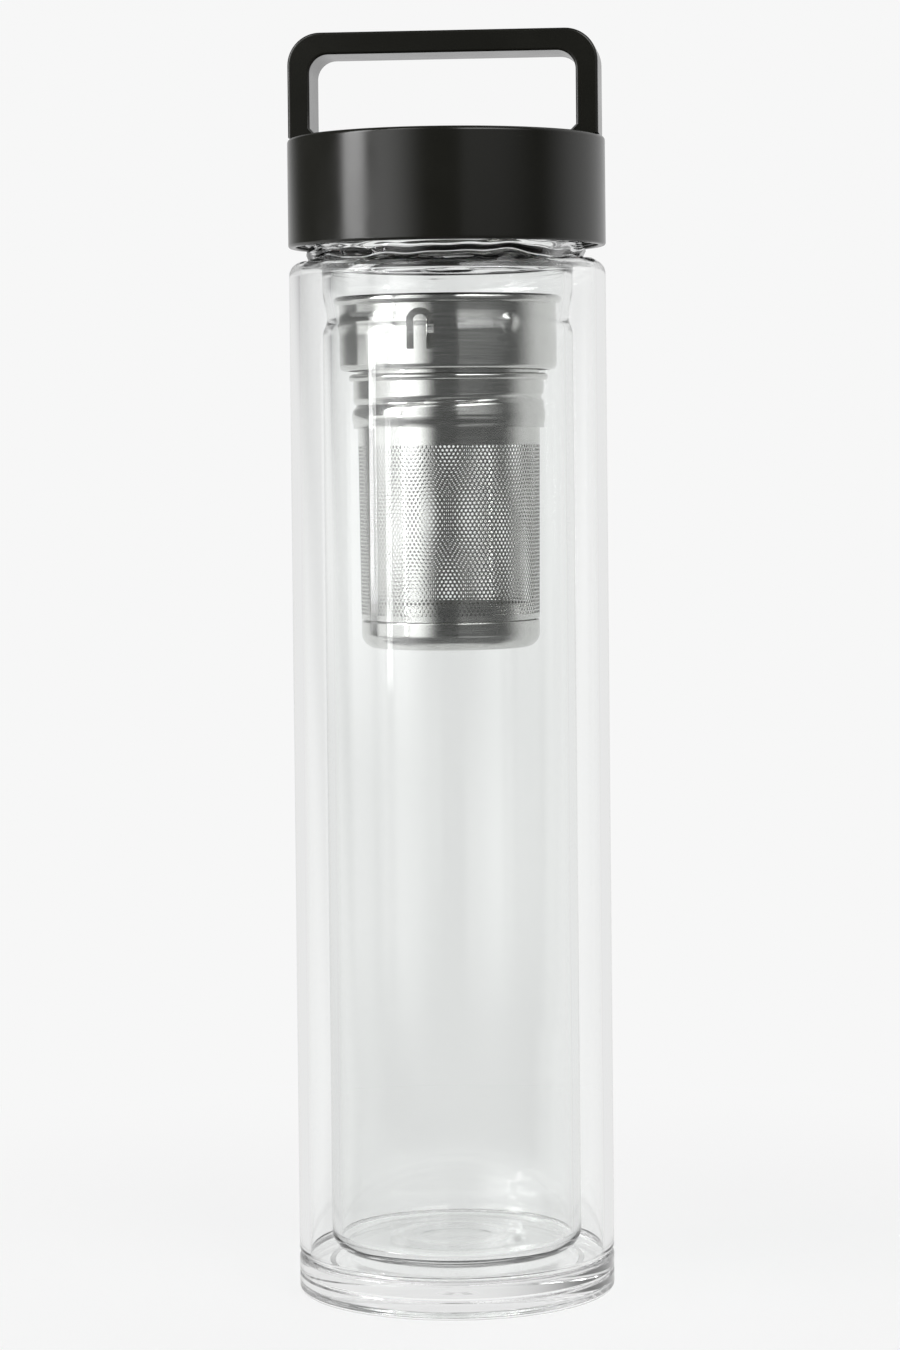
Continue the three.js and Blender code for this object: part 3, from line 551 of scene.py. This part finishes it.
def glass_base():
    radius, bottom, top = node_box("glass_base")
    recess = radius - FOOT_WIDTH
    ceiling = bottom + FOOT_RECESS
    groove = bottom + BASE_GROOVE_HEIGHT
    groove_bed = radius - BASE_GROOVE_DEPTH
    soft = BASE_GROOVE_WIDTH / 4
    return lathe("glass_foot", rounded([
        (0, ceiling + PIP_DEPTH),
        (PIP_RADIUS / 2, ceiling + PIP_DEPTH, PIP_DEPTH),
        (PIP_RADIUS, ceiling, PIP_DEPTH),
        (recess, ceiling, FIRE_POLISH),
        (recess, bottom, FIRE_POLISH),
        (radius, bottom, FOOT_EDGE),
        (radius, groove - BASE_GROOVE_WIDTH / 2, soft),
        (groove_bed, groove, soft),
        (radius, groove + BASE_GROOVE_WIDTH / 2, soft),
        (radius, top, SEAM_ROUNDING),
        (0, top),
    ], closed=False))


def cap_shell():
    radius, bottom, top = node_box("cap_shell")
    bore = radius - CAP_WALL
    under = top - CAP_TOP
    return lathe("cap_body", rounded([
        (0, under),
        (bore, under, CAP_INNER_EDGE),
        (bore, bottom, CAP_INNER_EDGE),
        (radius, bottom, CAP_LOWER_EDGE),
        (radius, top, CAP_TOP_EDGE),
        (0, top),
    ], closed=False))


def handle_stations():
    """Matching points of the handle's outer and inner lines, from one foot round to the other."""
    _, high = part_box("carry_handle")
    _, _, cap_top = node_box("cap_shell")
    half, top = high.x, high.z
    foot = cap_top + HANDLE_FOOT_GAP
    inner_half = half - HANDLE_THICKNESS
    inner_top = top - HANDLE_THICKNESS
    outer_corner = (half - HANDLE_OUTER_RADIUS, top - HANDLE_OUTER_RADIUS)
    inner_corner = (inner_half - HANDLE_INNER_RADIUS, inner_top - HANDLE_INNER_RADIUS)
    right = []
    for chamfer in (HANDLE_FOOT_CHAMFER, 0):
        height = foot + HANDLE_FOOT_CHAMFER - chamfer
        right.append(((half, height), (inner_half - chamfer, height)))
    right.append((
        (half, outer_corner[1] - EDGE_SUPPORT), (inner_half, inner_corner[1] - EDGE_SUPPORT),
    ))
    quarter = (0, math.pi / 2, HANDLE_BEND_STEPS)
    right.extend(zip(
        arc(outer_corner, HANDLE_OUTER_RADIUS, *quarter),
        arc(inner_corner, HANDLE_INNER_RADIUS, *quarter),
    ))
    right.append((
        (outer_corner[0] - EDGE_SUPPORT, top), (inner_corner[0] - EDGE_SUPPORT, inner_top),
    ))
    left = [((-outer[0], outer[1]), (-inner[0], inner[1])) for outer, inner in reversed(right)]
    return right + left


def carry_handle():
    """A flat bar with softened edges, bent into a loop that stands on the cap by broader feet."""
    _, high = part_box("carry_handle")
    half_depth = high.y
    vertices, faces = [], []
    stations = handle_stations()
    for outer, inner in stations:
        outer, inner = Vector(outer), Vector(inner)
        across = outer - inner
        half = across.length / 2
        middle = (outer + inner) / 2
        section = rounded([
            (-half, -half_depth, HANDLE_EDGE), (half, -half_depth, HANDLE_EDGE),
            (half, half_depth, HANDLE_EDGE), (-half, half_depth, HANDLE_EDGE),
        ])
        for along, y in section:
            point = middle + across.normalized() * along
            vertices.append((point.x, y, point.y))
    count = len(section)
    for station in range(len(stations) - 1):
        for point in range(count):
            after = (point + 1) % count
            near, far = station * count, (station + 1) * count
            faces.append((near + point, near + after, far + after, far + point))
    last = (len(stations) - 1) * count
    faces.append(tuple(reversed(range(count))))
    faces.append(tuple(range(last, last + count)))
    return add_piece("handle_loop", vertices, faces)


def cap_liner():
    radius, bottom, top = node_box("cap_liner")
    bore = radius - CAP_LINER_WALL
    outline = [(radius, bottom), (radius, top)] + [(bore, height) for height in rows(top, bottom)]

    def thread(azimuths, at_radius, height):
        if at_radius > bore + CAP_LINER_WALL / 2:
            return 0, 0
        last = CAP_THREAD_TURN + THREAD_TURNS
        return -thread_bulge(height, azimuths, CAP_THREAD_TURN, last, CAP_THREAD_DROP), 0

    return lathe("cap_thread_sleeve", outline, thread)


def cap_plate():
    radius, bottom, top = node_box("cap_plate")
    return lathe("cap_backing_plate", rounded([
        (0, bottom), (radius, bottom, CAP_INNER_EDGE), (radius, top, CAP_INNER_EDGE), (0, top),
    ], closed=False))


def cap_seal():
    radius, bottom, top = node_box("cap_seal")
    bore = radius - SEAL_WIDTH
    return lathe("cap_seal_ring", rounded([
        (bore, bottom, SEAL_ROUNDING), (radius, bottom, SEAL_ROUNDING),
        (radius, top, SEAL_ROUNDING), (bore, top, SEAL_ROUNDING),
    ]))


def tongue_cutter(collar_radius, collar_top, azimuth):
    """The inverted U that frees a spring tongue, as a solid through the collar's wall."""
    inner = TONGUE_WIDTH / 2
    outer = inner + TONGUE_SLOT
    foot = collar_top - TONGUE_DROP - TONGUE_LENGTH
    centre = (0, foot + TONGUE_LENGTH - outer)
    outline = ([(outer, foot)] + arc(centre, outer, 0, math.pi) + [(-outer, foot), (-inner, foot)]
               + arc(centre, inner, math.pi, 0) + [(inner, foot)])
    turn = Matrix.Rotation(azimuth, 3, "Z")
    count = len(outline)
    vertices = [
        turn @ Vector((x, y - collar_radius, z))
        for y in (-CUTTER_REACH, CUTTER_REACH) for x, z in outline
    ]
    sides = [(k, k + count, (k + 1) % count + count, (k + 1) % count) for k in range(count)]
    return add_piece("cutter", vertices, [
        tuple(range(count)), tuple(reversed(range(count, 2 * count))), *sides,
    ])


def cut_away(piece, cutters):
    for cutter in cutters:
        modifier = piece.modifiers.new("cut", "BOOLEAN")
        modifier.operation = "DIFFERENCE"
        modifier.solver = "EXACT"
        modifier.object = cutter
    depsgraph = bpy.context.evaluated_depsgraph_get()
    piece.data = bpy.data.meshes.new_from_object(piece.evaluated_get(depsgraph))
    piece.modifiers.clear()
    piece.data.set_sharp_from_angle(angle=SHARP_ANGLE)
    for cutter in cutters:
        bpy.data.objects.remove(cutter)


def infuser_collar():
    """The collar of thin sheet, with its rolled rim, bead, dimples and spring tongues."""
    rim, bottom, top = node_box("infuser_collar")
    radius = rim - COLLAR_STEP
    bore = radius - SHEET
    lip_bore = bore - COLLAR_LIP
    bead = top - BEAD_DROP
    roll_centre = (rim - RIM_ROLL, top - RIM_ROLL)
    outer_dip = math.acos((radius - roll_centre[0]) / RIM_ROLL)
    inner_dip = math.acos((bore - roll_centre[0]) / RIM_ROLL)
    heights = rows(bottom + 2 * COLLAR_CORNER, roll_centre[1] - RIM_ROLL)
    bulge = BEAD_DEPTH * hump(heights - bead, BEAD_REACH)
    outline = rounded([
        (lip_bore, bottom),
        (radius, bottom, COLLAR_CORNER),
        *zip(radius + bulge, heights),
        *arc(roll_centre, RIM_ROLL, -outer_dip, 2 * math.pi - inner_dip),
        *reversed(list(zip(bore + bulge, heights))),
        (bore, bottom + SHEET, COLLAR_CORNER - SHEET),
        (lip_bore, bottom + SHEET),
    ])
    spacing = 2 * math.pi / COLLAR_FEATURES

    def dimples(azimuths, at_radius, height):
        nearest = (azimuths - DIMPLE_AZIMUTH + spacing / 2) % spacing - spacing / 2
        distance = np.hypot(nearest * radius, height - top + DIMPLE_DROP)
        return DIMPLE_HEIGHT * hump(distance, DIMPLE_RADIUS), 0

    collar = lathe("infuser_collar_sheet", outline, dimples, FINE_SEGMENTS)
    cut_away(collar, [
        tongue_cutter(radius, top, TONGUE_AZIMUTH + spacing * k) for k in range(COLLAR_FEATURES)
    ])
    return collar


def screw_groove(height, middle, azimuths, from_turn, to_turn, reach):
    """Depth of the rolled thread's groove, round the axis at one height."""
    depth = np.zeros(len(azimuths))
    for lap in SCREW_LAPS:
        turn = azimuths / (2 * np.pi) + lap
        outside = np.maximum(np.maximum(from_turn - turn, turn - to_turn), 0)
        distance = height - middle - SCREW_LEAD * turn
        depth += SCREW_DEPTH * hump(outside, SCREW_FADE) * hump(distance, reach)
    return depth


def screw_middle():
    """Height of the middle of the rolled thread at the front."""
    _, _, ring_top = node_box("basket_ring")
    return ring_top - SCREW_DROP


def basket_ring():
    """The basket's mouth, with its edge rolled outwards and the rolled thread in its side."""
    rim, bottom, top = node_box("basket_ring")
    radius = rim - RING_OVERHANG
    bore = radius - SHEET
    roll_centre = (rim - RING_ROLL, top - RING_ROLL)
    heights = rows(bottom, roll_centre[1] - RING_ROLL)
    outline = ([(radius, height) for height in heights]
               + arc(roll_centre, RING_ROLL, -math.pi / 2, RING_ROLL_END)
               + [(bore, height) for height in reversed(heights)])

    def groove(azimuths, at_radius, height):
        if height > heights[-1]:
            return 0, 0
        bulge = RING_BULGE_DEPTH * hump(height - bottom - RING_BULGE_RISE, RING_BULGE_REACH)
        return bulge - screw_groove(height, screw_middle(), azimuths, -SCREW_HALF_TURNS,
                                    SCREW_HALF_TURNS, SCREW_REACH), 0

    return lathe("basket_mouth", outline, groove)


def screw_spigot():
    flange, bottom, top = node_box("screw_spigot")
    radius = flange - SPIGOT_FLANGE_OVERHANG
    bore = radius - SHEET
    heights = rows(bottom, top - 2 * SHEET)
    outline = ([(radius, height) for height in heights]
               + [(radius, top - SHEET), (flange, top - SHEET), (flange, top), (bore, top)]
               + [(bore, height) for height in reversed(heights)])

    def groove(azimuths, at_radius, height):
        if height > heights[-1]:
            return 0, 0
        return -screw_groove(height, screw_middle(), azimuths, -np.inf,
                             SCREW_HALF_TURNS + SCREW_FADE, SCREW_REACH + SCREW_CLEARANCE), 0

    return lathe("collar_spigot", outline, groove)


def perforated(name, columns, hole_rows, pitch, point_at, margins):
    """A closed sheet, turned about Z, with staggered six-sided holes.

    point_at(column, row, side) places a point. Columns are counted in half holes round the sheet,
    rows in rows of holes, and side is 0 on the outside and 1 on the inside. The pitch is the
    length of such a column and of such a row. The margins are the row numbers of the sheet's two
    plain edges.
    """
    half_columns = 2 * columns
    vertices, faces, corner_index = [], [], {}

    def add_vertex(column, row, side):
        vertices.append(point_at(column, row, side))
        return len(vertices) - 1

    def corner(column, row, side):
        key = (column % half_columns, row, side)
        if key not in corner_index:
            corner_index[key] = add_vertex(*key)
        return corner_index[key]

    def add_face(indices, side):
        faces.append(tuple(indices if side == 0 else indices[::-1]))

    turns = [math.tau / HOLE_SIDES * k for k in range(HOLE_SIDES)]
    for row in range(hole_rows + 1):
        for column in range(row % 2, half_columns, 2):
            around = [(column + 1, row), (column, row + 1), (column - 1, row), (column, row - 1)]
            # The first and last rows are triangles without holes, which close the pattern
            if row in (0, hole_rows):
                left_out = 3 if row == 0 else 1
                kept = [place for k, place in enumerate(around) if k != left_out]
                for side in (0, 1):
                    add_face([corner(*place, side) for place in kept], side)
                continue
            loops = []
            for side in (0, 1):
                hole = [
                    add_vertex(column + HOLE_RADIUS / pitch[0] * math.cos(t),
                               row + HOLE_RADIUS / pitch[1] * math.sin(t), side)
                    for t in turns
                ]
                loops.append(hole)
                corners = [corner(*place, side) for place in around]
                for here, after, first, last in HOLE_FANS:
                    for k in range(first, last):
                        edge = (hole[(k + 1) % HOLE_SIDES], hole[k % HOLE_SIDES])
                        add_face((corners[here], *edge), side)
                    add_face((corners[here], corners[after], hole[last % HOLE_SIDES]), side)
            outside, inside = loops
            for k in range(HOLE_SIDES):
                after = (k + 1) % HOLE_SIDES
                faces.append((outside[k], outside[after], inside[after], inside[k]))
    low_edge, high_edge = margins
    for row, edge in ((0, low_edge), (hole_rows, high_edge)):
        upward = edge > row
        for column in range((row + 1) % 2, half_columns, 2):
            for side in (0, 1):
                strip = [corner(column, row, side), corner(column + 2, row, side),
                         corner(column + 2, edge, side), corner(column, edge, side)]
                add_face(strip if upward else strip[::-1], side)
            rim = [corner(column, edge, 0), corner(column + 2, edge, 0),
                   corner(column + 2, edge, 1), corner(column, edge, 1)]
            faces.append(tuple(rim if upward else rim[::-1]))
    return add_piece(name, vertices, faces)


def basket_mesh():
    radius, bottom, top = node_box("basket_mesh")
    low = bottom + MESH_BOTTOM_BAND
    pitch = (top - MESH_TOP_BAND - low) / MESH_ROWS

    def point_at(column, row, side):
        height = low + pitch * row
        wall = radius - MESH_TAPER * (top - height) / (top - bottom) - MESH_SHEET * side
        azimuth = math.pi * column / MESH_COLUMNS
        return wall * math.sin(azimuth), -wall * math.cos(azimuth), height

    margins = ((bottom - low) / pitch, (top - low) / pitch)
    size = (math.pi * radius / MESH_COLUMNS, pitch)
    return perforated("basket_wall", MESH_COLUMNS, MESH_ROWS, size, point_at, margins)


def strainer_plate():
    radius, bottom, top = node_box("strainer_plate")
    pitch = (radius - PLATE_RIM - PLATE_CENTRE) / PLATE_ROWS

    def point_at(column, row, side):
        reach = PLATE_CENTRE + pitch * row
        azimuth = math.pi * column / PLATE_COLUMNS
        return reach * math.sin(azimuth), -reach * math.cos(azimuth), top if side else bottom

    margins = ((PLATE_BORE - PLATE_CENTRE) / pitch, PLATE_ROWS + PLATE_RIM / pitch)
    size = (math.pi * PLATE_ROUND_RADIUS / PLATE_COLUMNS, pitch)
    return perforated("strainer_disc", PLATE_COLUMNS, PLATE_ROWS, size, point_at, margins)


def basket_cup():
    radius, bottom, top = node_box("basket_bottom")
    step = bottom + CUP_BAND
    upstand = radius - CUP_UPSTAND_GAP
    return lathe("basket_cup_shell", rounded([
        (0, bottom),
        (radius, bottom, CUP_CORNER),
        (radius, step, SHEET / 2),
        (upstand, step, SHEET / 4),
        (upstand, top),
        (upstand - SHEET, top),
        (upstand - SHEET, step - SHEET, SHEET / 4),
        (radius - SHEET, step - SHEET, SHEET / 4),
        (radius - SHEET, bottom + SHEET, CUP_CORNER - SHEET),
        (0, bottom + SHEET),
    ], closed=False))


def dress_flask():
    glass = clear_glass()
    dress(glass_walls(), glass, "flask", "clear_glass", "outer_glass", "inner_glass")
    dress(glass_base(), glass, "flask", "clear_glass", "glass_base", "base_seal_tip")


def dress_cap():
    black = moulded_plastic(
        "black_plastic", dark=(0.0056, 0.0056, 0.0041), pale=(0.008, 0.008, 0.0058),
        roughness=(0.17, 0.22), grain=0.08,
    )
    matt = moulded_plastic(
        "liner_plastic", dark=(0.02, 0.02, 0.017), pale=(0.026, 0.026, 0.022),
        roughness=(0.45, 0.55), grain=0.2,
    )
    dress(cap_shell(), black, "cap", "black_plastic", "cap_shell")
    dress(carry_handle(), black, "cap", "black_plastic", "carry_handle")
    dress(cap_liner(), matt, "cap", "liner_plastic", "cap_liner")
    dress(cap_plate(), matt, "cap", "liner_plastic", "cap_plate")
    dress(cap_seal(), silicone_rubber(), "seal", "silicone", "cap_seal")


def dress_infuser():
    steel = stainless_steel()
    for piece, body, name in (
        (infuser_collar(), "infuser", "infuser_collar"),
        (strainer_plate(), "infuser", "strainer_plate"),
        (screw_spigot(), "infuser", "screw_spigot"),
        (basket_ring(), "basket", "basket_ring"),
        (basket_mesh(), "basket", "basket_mesh"),
        (basket_cup(), "basket_cup", "basket_bottom"),
    ):
        dress(piece, steel, body, "steel", name)


def studio_level(tree, direction):
    """How bright the studio is in a direction."""
    walls = []
    for azimuth, dip, begins, full in WHITE_WALLS:
        turn = math.radians(azimuth) + CAMERA_AZIMUTH
        towards = add_node(tree, "ShaderNodeVectorMath", {
            0: direction, 1: (math.sin(turn), -math.cos(turn), -dip),
        }, operation="DOT_PRODUCT")
        walls.append(add_node(tree, "ShaderNodeMapRange", {
            "Value": towards.outputs["Value"], "From Min": begins, "From Max": full,
            "To Min": FRONT_LEVEL, "To Max": BACK_LEVEL,
        }, interpolation_type="SMOOTHSTEP").outputs["Result"])
    return add_node(tree, "ShaderNodeMath", dict(enumerate(walls)), operation="MAXIMUM").outputs[0]


def floor_material():
    """White paper that is even with the background, but for the shadow of what stands on it.

    Reflections show it as bright as the studio is on that side, and white close to the object.
    """
    material, tree = new_material("floor")
    coordinates = add_node(tree, "ShaderNodeTexCoord").outputs["Object"]
    distance = add_node(tree, "ShaderNodeVectorMath", {0: coordinates}, operation="LENGTH")
    shade = add_node(tree, "ShaderNodeMapRange", {
        "Value": distance.outputs["Value"],
        "From Min": FLOOR_SHADE_RADII[0], "From Max": FLOOR_SHADE_RADII[1],
        "To Min": FLOOR_SHADE, "To Max": 0,
    }, interpolation_type="SMOOTHSTEP").outputs["Result"]
    lit = add_node(tree, "ShaderNodeMath", {
        0: shade, 1: -FLOOR_LIGHT, 2: BACKGROUND,
    }, operation="MULTIPLY_ADD")
    glow = add_node(tree, "ShaderNodeEmission", {"Color": WHITE, "Strength": lit.outputs[0]})
    tone = add_node(tree, "ShaderNodeCombineColor", {0: shade, 1: shade, 2: shade})
    shadow = add_node(tree, "ShaderNodeBsdfDiffuse", {"Color": tone.outputs[0]})
    seen = add_node(tree, "ShaderNodeAddShader", {0: glow.outputs[0], 1: shadow.outputs[0]})
    paper = add_node(tree, "ShaderNodeBsdfDiffuse", {"Color": PAPER})
    close = add_node(tree, "ShaderNodeMapRange", {
        "Value": distance.outputs["Value"],
        "From Min": MIRRORED_FLOOR[0], "From Max": MIRRORED_FLOOR[1],
        "To Min": BACK_LEVEL, "To Max": FRONT_LEVEL,
    }, interpolation_type="SMOOTHSTEP").outputs["Result"]
    outward = add_node(tree, "ShaderNodeVectorMath", {0: coordinates}, operation="NORMALIZE")
    downward = add_node(tree, "ShaderNodeVectorMath", {
        0: outward.outputs["Vector"], 1: (0, 0, -MIRROR_SLOPE),
    }, operation="ADD")
    mirrored = add_node(tree, "ShaderNodeMath", {
        0: close, 1: studio_level(tree, downward.outputs["Vector"]),
    }, operation="MAXIMUM")
    mirror_image = add_node(tree, "ShaderNodeEmission", {
        "Color": WHITE, "Strength": mirrored.outputs[0],
    })
    path = add_node(tree, "ShaderNodeLightPath")
    is_mirrored = add_node(tree, "ShaderNodeMath", {
        0: path.outputs["Glossy Depth"], 1: ONE_BOUNCE,
    }, operation="GREATER_THAN")
    shown = add_node(tree, "ShaderNodeMixShader", {
        0: is_mirrored.outputs[0], 1: seen.outputs[0], 2: mirror_image.outputs[0],
    })
    mix = add_node(tree, "ShaderNodeMixShader", {
        0: path.outputs["Is Diffuse Ray"], 1: shown.outputs[0], 2: paper.outputs[0],
    })
    finish_material(tree, mix.outputs[0])
    return material


def make_floor():
    ring = [
        (FLOOR_RADIUS * math.sin(azimuth), -FLOOR_RADIUS * math.cos(azimuth), -FLOOR_DROP)
        for azimuth in np.arange(SEGMENTS) * 2 * np.pi / SEGMENTS
    ]
    floor = add_piece("floor", ring, [tuple(range(SEGMENTS))])
    floor.data.materials.append(floor_material())


def make_world():
    """White for all that is seen directly or through glass, and a studio for reflected light."""
    world = bpy.data.worlds.new("studio")
    bpy.context.scene.world = world
    world.use_nodes = True
    tree = world.node_tree
    tree.nodes.clear()
    direction = add_node(tree, "ShaderNodeTexCoord").outputs["Generated"]
    path = add_node(tree, "ShaderNodeLightPath")
    bounced = add_node(tree, "ShaderNodeMath", {
        0: path.outputs["Glossy Depth"], 1: path.outputs["Diffuse Depth"],
    }, operation="ADD")
    is_bounced = add_node(tree, "ShaderNodeMath", {
        0: bounced.outputs[0], 1: ONE_BOUNCE,
    }, operation="GREATER_THAN")
    studio = add_node(tree, "ShaderNodeBackground", {
        "Color": WHITE, "Strength": studio_level(tree, direction),
    })
    white = add_node(tree, "ShaderNodeBackground", {"Color": WHITE, "Strength": BACKGROUND})
    mix = add_node(tree, "ShaderNodeMixShader", {
        0: is_bounced.outputs[0], 1: white.outputs[0], 2: studio.outputs[0],
    })
    add_node(tree, "ShaderNodeOutputWorld", {"Surface": mix.outputs[0]})


def shade_box(light, fades, profile):
    """Fades a soft box to its two sides, by shares of its width, and shades it up its height."""
    light.use_nodes = True
    tree = light.node_tree
    tree.nodes.clear()
    place = add_node(tree, "ShaderNodeNewGeometry").outputs["Parametric"]
    across, up, _ = add_node(tree, "ShaderNodeSeparateXYZ", {0: place}).outputs
    left, right = (
        add_node(tree, "ShaderNodeMapRange", {
            "Value": across, "From Min": edge, "From Max": full,
        }, interpolation_type="SMOOTHSTEP").outputs["Result"]
        for edge, full in ((0, fades[0]), (1, 1 - fades[1]))
    )
    side = add_node(tree, "ShaderNodeMath", {0: left, 1: right}, operation="MULTIPLY")
    ramp = add_node(tree, "ShaderNodeValToRGB", {"Fac": up})
    elements = ramp.color_ramp.elements
    while len(elements) < len(profile):
        elements.new(1)
    for element, (share, level) in zip(elements, profile):
        element.position = share
        element.color = (level, level, level, 1)
    glow = add_node(tree, "ShaderNodeEmission", {
        "Color": ramp.outputs["Color"], "Strength": side.outputs[0],
    })
    add_node(tree, "ShaderNodeOutputLight", {"Surface": glow.outputs[0]})


def soft_box(name, azimuths, fades, profile):
    """An upright soft box that fills a range of azimuths from the camera.

    The profile gives its heights, and how bright a surface it is at each of them.
    """
    turn = math.radians(sum(azimuths) / 2) + CAMERA_AZIMUTH
    width = azimuths[1] - azimuths[0]
    low, high = profile[0][0], profile[-1][0]
    brightest = max(level for _, level in profile)
    light = bpy.data.lights.new(name, "AREA")
    light.shape = "RECTANGLE"
    light.size = 2 * LIGHT_DISTANCE * math.tan(math.radians(width) / 2)
    light.size_y = high - low
    light.energy = brightest * math.pi * light.size * light.size_y
    shade_box(light, [fade / width for fade in fades], [
        ((height - low) / (high - low), level / brightest) for height, level in profile
    ])
    lamp = bpy.data.objects.new(name, light)
    bpy.context.scene.collection.objects.link(lamp)
    place = (0, -LIGHT_DISTANCE, (low + high) / 2)
    upright = Matrix.Rotation(math.pi / 2, 4, "X")
    lamp.matrix_world = Matrix.Rotation(turn, 4, "Z") @ Matrix.Translation(place) @ upright
    lamp.visible_camera = False


def make_lights():
    for name, (azimuths, fades, profile) in SOFT_BOXES.items():
        soft_box(name, azimuths, fades, profile)


def make_camera():
    camera = bpy.data.cameras.new("camera")
    camera.lens = LENS
    camera.sensor_width = SENSOR
    camera.shift_y = CAMERA_SHIFT
    viewer = bpy.data.objects.new("camera", camera)
    bpy.context.scene.collection.objects.link(viewer)
    turn = Matrix.Rotation(CAMERA_AZIMUTH, 4, "Z")
    place = Matrix.Translation((0, -CAMERA_DISTANCE, CAMERA_HEIGHT))
    tilt = Matrix.Rotation(math.pi / 2 - CAMERA_PITCH, 4, "X")
    roll = Matrix.Rotation(CAMERA_ROLL, 4, "Z")
    viewer.matrix_world = turn @ place @ tilt @ roll
    bpy.context.scene.camera = viewer


dress_flask()
dress_cap()
dress_infuser()
make_floor()
make_world()
make_lights()
make_camera()

scene = bpy.context.scene
scene.view_settings.view_transform = "Standard"
scene.cycles.max_bounces = GLASS_BOUNCES
scene.cycles.transmission_bounces = GLASS_BOUNCES
scene.cycles.glossy_bounces = MIRROR_BOUNCES
scene.cycles.transparent_max_bounces = GLASS_BOUNCES
